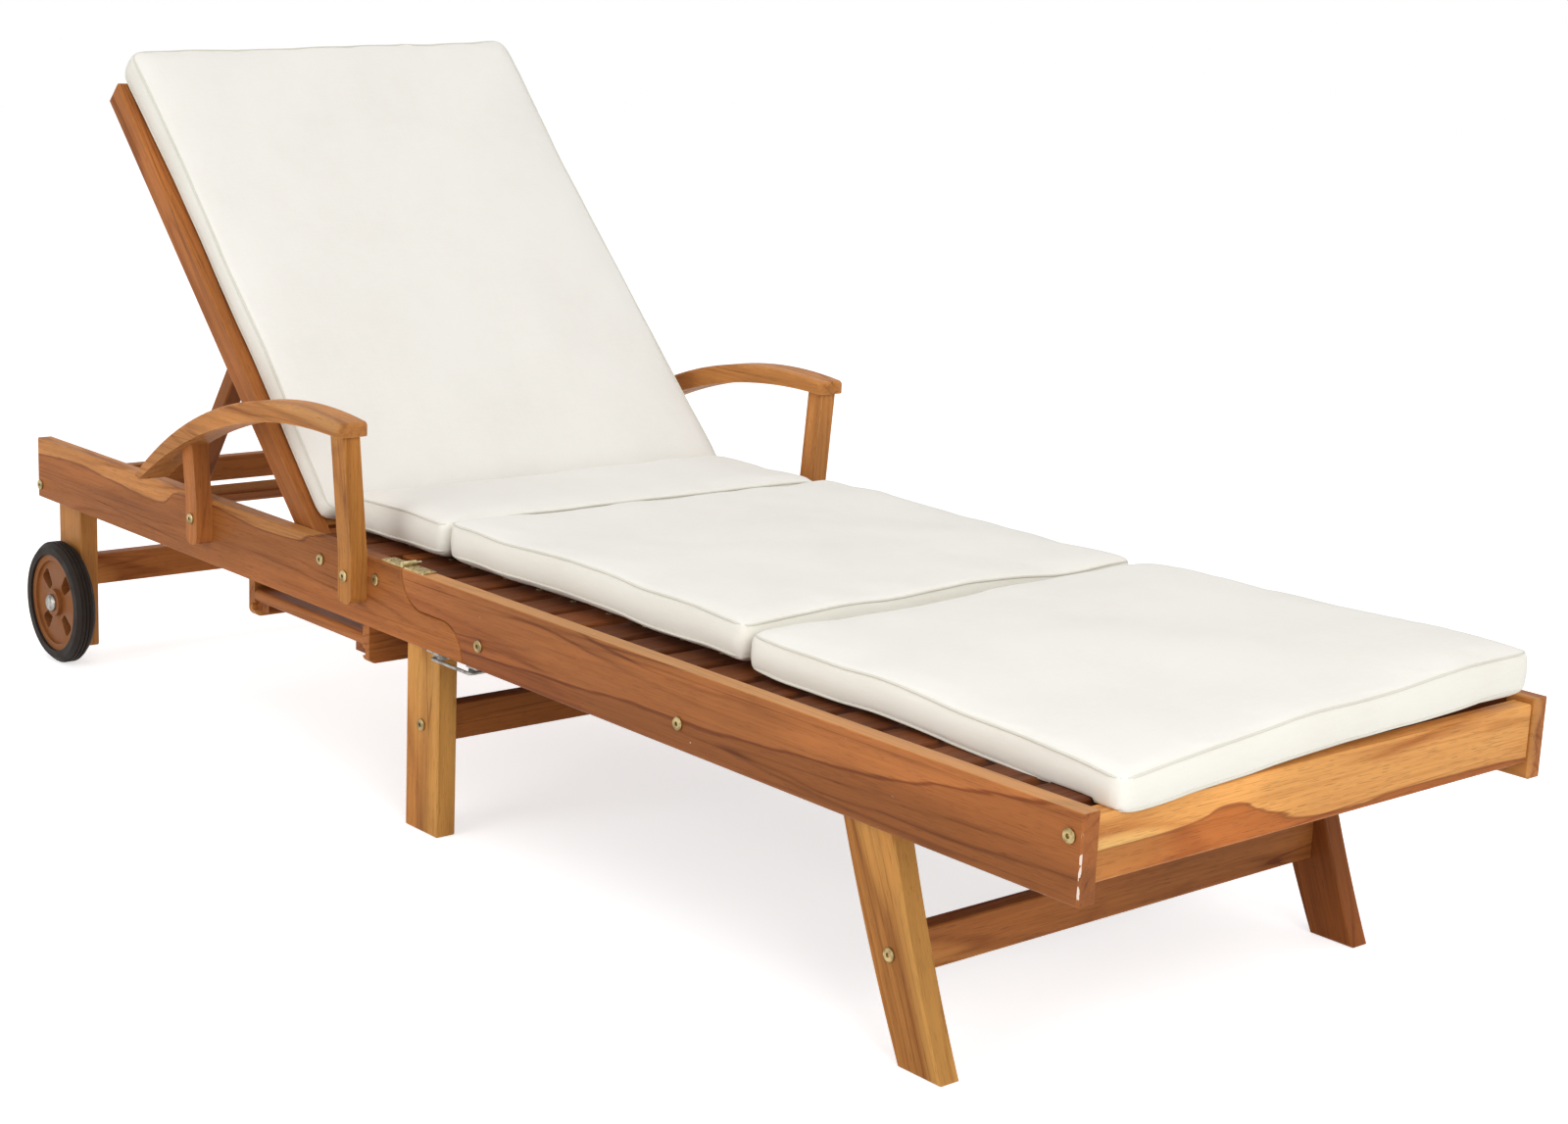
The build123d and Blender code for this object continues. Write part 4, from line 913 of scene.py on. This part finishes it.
@dataclass
class Fittings:
    """Hinges, bolts, latch, axles and wheels."""

    zinc: Metal = Metal("yellow_zinc", srgb(184, 164, 118), srgb(122, 102, 66), 0.32)
    brass: Metal = Metal("hinge_brass", srgb(198, 182, 136), srgb(146, 124, 84), 0.32)
    steel: Metal = Metal("bright_steel", srgb(168, 164, 158), srgb(112, 108, 102), 0.28)
    # Painted shade: a dark metal for the cross recess of the screws, where shade falls.
    shadow: Metal = Metal("painted_recess_shade", srgb(70, 58, 40), srgb(48, 40, 28), 0.55)
    rubber: Moulded = Moulded("black_rubber", srgb(34, 27, 23), srgb(70, 58, 48), 0.60, dust=0.18)
    disc: Moulded = Moulded("brown_disc", srgb(136, 82, 40), srgb(170, 116, 68), 0.48, dust=0.25)
    inset: float = 0.058
    head: float = 0.0036
    proud: float = 0.0005

    def build(self) -> None:
        """Dresses the metal and moulded pieces and adds the slats' screws."""
        finishes = {
            self.zinc: ("frame_bolts", "foot_bolts", "pivot_bolts"),
            self.brass: ("hinge_leaves_head", "hinge_leaves_foot", "hinge_pins"),
            self.steel: (
                "axle_bolt_right", "axle_bolt_left", "latch_bracket", "latch_bail", "latch_keeper",
                "prop_rod",
            ),
            self.rubber: ("tyre_right", "tyre_left"),
            self.disc: ("wheel_disc_right", "wheel_disc_left"),
        }
        for finish, nodes in finishes.items():
            material = finish.material()
            for node in nodes:
                dress(node, material)
            log.info("%s on %s", finish.name, ", ".join(nodes))
        self.screws()

    def screws(self) -> None:
        """Sets screws through the ends of the seat and foot slats with Geometry Nodes."""
        tree = screw_tree()
        zinc, recess = bpy.data.materials["yellow_zinc"], self.shadow.material()
        low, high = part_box("foot_slats")
        seat_low, seat_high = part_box("seat_slats")
        rail_low, rail_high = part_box("seat_cross_rail")
        width = (high.x - low.x - (FOOT_SLATS - 1) * SLAT_GAP) / FOOT_SLATS
        rear_width = (rail_low.x - SLAT_GAP / 2 - seat_low.x - SLAT_GAP) / 2
        front = (rail_high.x + SLAT_GAP / 2 + seat_high.x) / 2
        rows = (
            ("foot_slat_screws", "foot_half", low.x + width / 2, width + SLAT_GAP, FOOT_SLATS),
            ("seat_slat_screws", "frame", seat_low.x + rear_width / 2, rear_width + SLAT_GAP, 2),
            ("front_slat_screws", "frame", front, width, 1),
        )
        for name, body, start, step, count in rows:
            base = linked(f"{name}_base", bpy.data.meshes.new(f"{name}_base"))
            made = tree.run(
                base, name, First=(start, low.y + self.inset, high.z), Step=(step, 0.0, 0.0), Count=count,
                Span=high.y - low.y - 2 * self.inset, Head=self.head, Proud=self.proud, Seed=7,
                Finish=zinc, Recess=recess,
            )
            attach(made, body)
            log.info("%s: %d faces", name, len(made.data.polygons))


@dataclass(frozen=True)
class Lie:
    """How a pad lies: the heights of its lower hem and upper seam above its base, at its four corners.

    Each tuple holds the near start, near end, far start and far end corner.
    """

    hem: tuple[float, float, float, float]
    seam: tuple[float, float, float, float]

    @staticmethod
    def at(corners: tuple[float, float, float, float], u: float, v: float) -> float:
        """The height at a share u along and v across, smooth between the corners."""
        near = corners[0] + (corners[1] - corners[0]) * u
        far = corners[2] + (corners[3] - corners[2]) * u
        return near + (far - near) * v


@dataclass
class Pad:
    """One sewn pad: a crowned box of foam in a piped cover, whose edges float a little above the slats.

    The pad is made lying along X with its underside at the base height, then turned about the
    back's pivot when it lies on the raised back. The skew is how far its start and end lie askew.
    """

    name: str
    node: str
    body: str
    start: float
    end: float
    half_width: float
    base: float
    lie: Lie
    seed: int
    wave: float
    skew: tuple[float, float]
    turn: float = 0.0
    pivot: tuple[float, float] = (0.0, 0.0)
    crown: float = 0.004
    fill: float = 0.75
    corner: float = 0.009
    belly: float = 0.070
    lip: float = 0.006
    dip: float = 0.0030
    swell: float = 0.0030
    side_bow: float = 0.004
    end_bow: float = 0.003
    piping: float = 0.0014
    step: float = 0.010
    voxel: float = 0.006
    cap: float = 0.0035
    frames: int = 20
    cloth: dict[str, object] = field(default_factory=lambda: {
        "quality": 4, "mass": 0.2, "tension_stiffness": 25.0, "compression_stiffness": 12.0,
        "shear_stiffness": 8.0, "bending_stiffness": 0.8, "use_pressure": True, "uniform_pressure_force": 4.0,
    })

    def build(self, pipes: Repeater) -> None:
        """Makes the pad with its piping.

        Args:
            pipes: the Geometry Nodes tree that makes the piping.
        """
        cover = self.block()
        cover = self.inflate(cover)
        self.settle(cover)
        surface = BVHTree.FromObject(cover, bpy.context.evaluated_depsgraph_get())
        lines = [self.seam(surface, True), self.seam(surface, False)]
        cloth = CREAM_BACK if self.turn else CREAM
        cover.data.materials.clear()
        for finish in (cloth.shared(-self.turn), SHADED_BORDER.shared()):
            cover.data.materials.append(finish)
        # Faces steeper than the top take the darker border cloth, a painted shade on the pad's sides.
        for polygon in cover.data.polygons:
            polygon.use_smooth = True
            polygon.material_index = int(abs(polygon.normal.z) < 0.62)
        cord = self.pipe(pipes, lines)
        for piece in (cover, cord):
            self.place(piece)
            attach(piece, self.body)
        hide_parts(self.node)
        faces = (len(piece.data.polygons) for piece in (cover, cord))
        log.info("%s: %d faces, piping %d faces", self.name, *faces)

    def block(self) -> Thing:
        """Makes the uninflated cover as an evenly divided box with rounded edges."""
        sizes = (self.end - self.start, 2 * self.half_width)
        counts = [max(2, round(size / self.step)) for size in sizes] + [6]
        mesh = bmesh.new()
        made: dict[tuple[int, ...], bmesh.types.BMVert] = {}

        def corner_at(place: tuple[int, ...]) -> bmesh.types.BMVert:
            """The vertex at one place of the box's grid."""
            if place not in made:
                made[place] = mesh.verts.new([at / count for at, count in zip(place, counts)])
            return made[place]

        for axis, first, second in ((2, 0, 1), (1, 0, 2), (0, 1, 2)):
            for level, flip in ((0, axis != 1), (counts[axis], axis == 1)):
                for i, j in product(range(counts[first]), range(counts[second])):
                    loop = []
                    for right, up in ((0, 0), (1, 0), (1, 1), (0, 1)):
                        at = {axis: level, first: i + right, second: j + up}
                        loop.append(corner_at((at[0], at[1], at[2])))
                    mesh.faces.new(loop[::-1] if flip else loop)
        for vertex in mesh.verts:
            vertex.co = self.shaped(*vertex.co)
        data = bpy.data.meshes.new(self.name)
        mesh.to_mesh(data)
        mesh.free()
        return linked(self.name, data)

    def shaped(self, u: float, v: float, w: float) -> Vector:
        """Places a point of the unit box on the pad's sewn form.

        Args:
            u, v, w: shares of the length, width and height.

        Returns:
            The point in metres, for the pad lying along X.
        """
        half_x, half_y = (self.end - self.start) / 2, self.half_width
        x, y = self.plan((2 * u - 1) * half_x, (2 * v - 1) * half_y, half_x, half_y)
        inside = min(half_x - abs(x), half_y - abs(y))
        edge = max(abs(x) / half_x, abs(y) / half_y)
        low = Lie.at(self.lie.hem, u, v) + self.flutter(x, y, 0.0) * 0.8
        high = Lie.at(self.lie.seam, u, v) + self.flutter(x, y, 0.4)
        if w <= 0.0:
            z = low * (1.0 - min(1.0, max(0.0, inside) / self.belly)) ** 2
        elif w >= 1.0:
            lip = max(0.0, 1.0 - max(0.0, inside) / self.lip)
            z = high + self.crown * (1.0 - edge ** 3) - self.dip * lip ** 2
        else:
            z = low + (high - self.dip - low) * w
            swell = self.swell * math.sin(math.pi * w)
            if half_y - abs(y) <= half_x - abs(x):
                y += math.copysign(swell, y)
            else:
                x += math.copysign(swell, x)
        x += (2 * v - 1) * (self.skew[0] * (1.0 - u) + self.skew[1] * u)
        return Vector((x + (self.start + self.end) / 2, y, z + self.base))

    def plan(self, x: float, y: float, half_x: float, half_y: float) -> tuple[float, float]:
        """Rounds the corners of the pad's plan and draws its sides in between them."""
        held_x = max(self.corner - half_x, min(half_x - self.corner, x))
        held_y = max(self.corner - half_y, min(half_y - self.corner, y))
        out = Vector((x - held_x, y - held_y))
        if out.x and out.y:
            out *= max(abs(out.x), abs(out.y)) / out.length
        x, y = held_x + out.x, held_y + out.y
        y -= math.copysign(self.side_bow * math.cos(math.pi * x / (2 * half_x)) * (abs(y) / half_y) ** 4, y)
        x -= math.copysign(self.end_bow * math.cos(math.pi * y / (2 * half_y)) * (abs(x) / half_x) ** 4, x)
        return x, y

    def flutter(self, x: float, y: float, phase: float) -> float:
        """The slow rise and fall of a sewn edge at a place in the plan."""
        slow = Vector((x * 6.0 + self.seed * 5.3, y * 6.0 + phase, self.seed * 2.1))
        quick = Vector((x * 17.0 + self.seed * 3.1, y * 17.0 + phase, self.seed * 1.7))
        return self.wave * (noise.noise(slow) * 1.5 + noise.noise(quick) * 0.45)

    def inflate(self, cover: Thing) -> Thing:
        """Fills the cover with a short cloth simulation, and keeps each point near its start.

        Args:
            cover: the uninflated cover, which is replaced.

        Returns:
            The filled cover with one smooth subdivision.
        """
        remesh = cover.modifiers.new("even", "REMESH")
        remesh.mode = "VOXEL"
        remesh.voxel_size = self.voxel
        remesh.adaptivity = 0.0
        cover = bake(cover, self.name)
        before = [vertex.co.copy() for vertex in cover.data.vertices]
        modifier = cover.modifiers.new("cloth", "CLOTH")
        for name, value in self.cloth.items():
            setattr(modifier.settings, name, value)
        modifier.settings.effector_weights.gravity = 0.0
        modifier.collision_settings.use_collision = False
        modifier.point_cache.frame_start = 1
        modifier.point_cache.frame_end = self.frames
        scene = bpy.context.scene
        for step in range(1, self.frames + 1):
            scene.frame_set(step)
        graph = bpy.context.evaluated_depsgraph_get()
        filled = cover.evaluated_get(graph).to_mesh()
        after = [vertex.co.copy() for vertex in filled.vertices]
        cover.evaluated_get(graph).to_mesh_clear()
        cover.modifiers.remove(modifier)
        scene.frame_set(1)
        for vertex, start, end in zip(cover.data.vertices, before, after):
            move = end - start
            if move.length > self.cap:
                move *= self.cap / move.length
            vertex.co = start + move
        finer = cover.modifiers.new("finer", "SUBSURF")
        finer.levels = finer.render_levels = 1
        return bake(cover, self.name)

    def settle(self, cover: Thing) -> None:
        """Flattens the underside where the pad lies on the slats, and lets it hang past the last of them."""
        slats_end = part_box("foot_slats")[1].x + 0.002
        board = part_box("foot_end_board")[1]
        board_end, board_top, hang = board.x + 0.0015, board.z + 0.0004, 0.012
        for vertex in cover.data.vertices:
            floor = self.base
            if not self.turn and vertex.co.x > slats_end:
                floor = board_top if vertex.co.x < board_end else self.base - hang
            vertex.co.z = max(vertex.co.z, floor)
        cover.data.update()

    def seam(self, surface: BVHTree, upper: bool) -> list[Vector]:
        """Finds the line of a seam around the pad's top or bottom edge.

        Args:
            surface: the pad's surface.
            upper: whether the top edge is wanted.

        Returns:
            Points on the surface, in order around the pad.
        """
        count = 2 * round((self.end - self.start + 2 * self.half_width) / 0.008)
        share, slant = (1.0, 0.9) if upper else (0.0, -0.9)
        reach = 0.04
        points: list[Vector] = []
        middle = self.shaped(0.5, 0.5, 0.5)
        for index in range(count):
            behind, corner, ahead = (
                self.shaped(*self.around((index + step) / count), share) for step in (-1, 0, 1)
            )
            along = ahead - behind
            out = Vector((along.y, -along.x, 0.0)).normalized()
            if out.dot(corner - middle) < 0.0:
                out.negate()
            aim = (out + Vector((0.0, 0.0, slant))).normalized()
            hit = surface.ray_cast(corner + aim * reach, -aim, 2 * reach)[0]
            points.append(hit + aim * self.piping * 0.45 if hit else corner)
        return self.smoothed(points)

    @staticmethod
    def around(share: float) -> tuple[float, float]:
        """The place at a share of the way round the unit square's edge."""
        side, part = divmod((share % 1.0) * 4.0, 1.0)
        places = ((part, 0.0), (1.0, part), (1.0 - part, 1.0), (0.0, 1.0 - part))
        return places[int(side) % 4]

    @staticmethod
    def smoothed(points: list[Vector], rounds: int = 3) -> list[Vector]:
        """Averages each point of a closed line with its neighbours a few times."""
        count = len(points)
        for _ in range(rounds):
            points = [(points[i - 1] + points[i] * 2 + points[(i + 1) % count]) / 4 for i in range(count)]
        return points

    def pipe(self, pipes: Repeater, lines: Iterable[list[Vector]]) -> Thing:
        """Runs the piping tree along the seams.

        Args:
            pipes: the piping tree.
            lines: the closed seam lines.

        Returns:
            The piping as a plain mesh object.
        """
        vertices: list[Vector] = []
        edges: list[tuple[int, int]] = []
        for line in lines:
            first = len(vertices)
            vertices += line
            edges += [(first + i, first + (i + 1) % len(line)) for i in range(len(line))]
        mesh = bpy.data.meshes.new(f"{self.name}_seams")
        mesh.from_pydata([tuple(vertex) for vertex in vertices], edges, [])
        return pipes.run(
            linked(f"{self.name}_seams", mesh), f"{self.name}_piping", Radius=self.piping, Step=0.006,
            Sides=8, Finish=SHADED_PIPING.shared(-self.turn),
        )

    def place(self, piece: Thing) -> None:
        """Turns a piece of the back pad up with the raised back."""
        if self.turn:
            x, z = self.pivot
            turned = Matrix.Translation((x, 0.0, z)) @ Matrix.Rotation(math.radians(self.turn), 4, "Y")
            piece.data.transform(turned)
        piece.data.update()


@dataclass
class Cushions:
    """The four pads, each measured from its CAD solid."""

    shrink: float = 0.0030
    lies: dict[str, Lie] = field(default_factory=lambda: {
        "seat_pad": Lie((0.007, 0.015, 0.004, 0.008), (0.047, 0.053, 0.046, 0.048)),
        "middle_pad": Lie((0.014, 0.012, 0.006, 0.006), (0.055, 0.054, 0.050, 0.050)),
        "foot_pad": Lie((0.008, -0.009, 0.006, 0.016), (0.046, 0.030, 0.049, 0.062)),
        "back_pad": Lie((0.005, 0.004, 0.004, 0.004), (0.044, 0.036, 0.038, 0.038)),
    })

    def build(self) -> None:
        """Makes the pads of the seat, the middle, the foot and the back."""
        pipes = piping_tree()
        for pad in self.pads():
            pad.build(pipes)
        for name in ("seat_pad", "seat_pad_piping"):
            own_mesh(bpy.data.objects[name])

    def flat(
        self, name: str, node: str, body: str, seed: int, wave: float, skew: tuple[float, float],
        past: Optional[float] = None, wider: float = 0.001,
    ) -> Pad:
        """Works out a level pad from its CAD solid's box.

        Args:
            name, node, body: the pad's name, the CAD solid it stands for and the body it rides on.
            seed, wave, skew: its flutter and how far it lies askew.
            past: how far its end lies past the solid's, or none for a little short of it.
            wider: how far its sides lie past the solid's.

        Returns:
            The pad, ready to build.
        """
        low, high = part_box(node)
        end = high.x - self.shrink if past is None else high.x + past
        return Pad(
            name, node, body, low.x + self.shrink, end, high.y + wider, low.z, self.lies[name], seed, wave,
            skew,
        )

    def pads(self) -> list[Pad]:
        """Lists the pads from their CAD solids' boxes, the back's along its stiles from the pivot."""
        far_end, near_end, lift, wider = -0.782, -0.026, 0.0153, 0.008
        return [
            self.flat("seat_pad", "cushion_seat", "frame", 3, 0.0030, (0.0, -0.007)),
            self.flat("middle_pad", "cushion_middle", "foot_half", 11, 0.0045, (-0.007, -0.006)),
            self.flat(
                "foot_pad", "cushion_foot", "foot_half", 19, 0.0040, (-0.006, 0.0), past=0.007, wider=0.007,
            ),
            Pad(
                "back_pad", "cushion_back", "backrest", far_end + self.shrink, near_end - self.shrink,
                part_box("cushion_back")[1].y + wider, lift, self.lies["back_pad"], 27, 0.0030, (-0.022, 0.0),
                turn=TILT["range_deg"][1], pivot=(TILT["pos_m"][0], TILT["pos_m"][2]),
            ),
        ]


@dataclass
class Studio:
    """A pale floor and backdrop, soft lamps and the camera of the photograph."""

    camera_at: tuple[float, float, float] = (2.3736, -1.8765, 0.9700)
    yaw: float = 48.761
    pitch: float = 12.559
    roll: float = 2.565
    lens: float = 58.526
    lamps: tuple[tuple[str, tuple[float, float, float], float, float], ...] = (
        ("key", (3.4, -1.0, 2.3), 2.2, 62.0),
        ("side", (0.2, -4.2, 1.7), 2.6, 50.0),
        ("top", (-0.6, 0.6, 3.6), 3.0, 24.0),
    )
    reach: float = 14.0
    drop: float = 0.0005

    def build(self) -> None:
        """Sets the floor, the world, the lamps and the camera."""
        scene = bpy.context.scene
        scene.view_settings.view_transform = "Standard"
        self.floor()
        self.world()
        for name, at, size, power in self.lamps:
            self.lamp(name, at, size, power)
        scene.camera = self.camera()

    @staticmethod
    def seen(sketch: Sketch) -> Socket:
        """One for the rays that show the studio straight, mirrored or through glass, else zero."""
        rays = sketch.node("ShaderNodeLightPath").outputs
        straight = sketch.math("MAXIMUM", rays["Is Camera Ray"], rays["Is Glossy Ray"])
        return sketch.math("MAXIMUM", straight, rays["Is Transmission Ray"])

    def floor(self) -> None:
        """A wide pale floor that shows white to the camera and takes the object's shadow."""
        mesh = bpy.data.meshes.new("floor")
        signs = ((-1, -1), (1, -1), (1, 1), (-1, 1))
        corners = [(x * self.reach, y * self.reach, -self.drop) for x, y in signs]
        mesh.from_pydata(corners, [], [(0, 1, 2, 3)])
        plane = linked("floor", mesh)
        material, sketch, shader = fresh_material("pale_floor")
        sketch.fill(
            shader, Base_Color=srgb(246, 246, 246), Roughness=0.9, Specular_IOR_Level=0.1,
            Emission_Color=sketch.mix(self.seen(sketch), BLACK, WHITE), Emission_Strength=0.62,
        )
        plane.data.materials.append(material)

    def world(self) -> None:
        """White behind the object, and an even plain light on it."""
        world = bpy.data.worlds.new("studio")
        world.use_nodes = True
        sketch = Sketch(world.node_tree)
        strength = sketch.math("MULTIPLY_ADD", self.seen(sketch), 0.5, 0.5)
        back = sketch.node("ShaderNodeBackground", {"Color": WHITE, "Strength": strength})
        sketch.node("ShaderNodeOutputWorld", {0: back.outputs[0]})
        bpy.context.scene.world = world

    @staticmethod
    def lamp(name: str, at: tuple[float, float, float], size: float, power: float) -> None:
        """Hangs a soft square lamp that faces the middle of the lounger."""
        data = bpy.data.lights.new(name, "AREA")
        data.shape = "SQUARE"
        data.size = size
        data.energy = power
        made = linked(name, data)
        made.location = at
        aim = Vector((0.0, 0.0, 0.3)) - Vector(at)
        made.rotation_euler = aim.to_track_quat("-Z", "Y").to_euler()

    def camera(self) -> Thing:
        """Sets the camera where the photograph was taken from."""
        data = bpy.data.cameras.new("camera")
        data.sensor_width = 36.0
        data.lens = self.lens
        data.clip_end = 60.0
        made = linked("camera", data)
        yaw, pitch, roll = (math.radians(angle) for angle in (self.yaw, self.pitch, self.roll))
        back = Vector((math.sin(yaw) * math.cos(pitch), -math.cos(yaw) * math.cos(pitch), math.sin(pitch)))
        level = Vector((math.cos(yaw), math.sin(yaw), 0.0))
        upward = back.cross(level)
        right = math.cos(roll) * level + math.sin(roll) * upward
        up = -math.sin(roll) * level + math.cos(roll) * upward
        turned = Matrix((right, up, back)).transposed().to_4x4()
        made.matrix_world = Matrix.Translation(self.camera_at) @ turned
        return made


def main() -> None:
    """Builds the sub-assemblies in order and reports each one."""
    logging.basicConfig(level=logging.INFO, format="%(name)s: %(message)s")
    for part in (Studio(), Woodwork(), Fittings(), Cushions()):
        part.build()
        log.info("%s done", type(part).__name__)


if __name__ == "__main__":
    main()
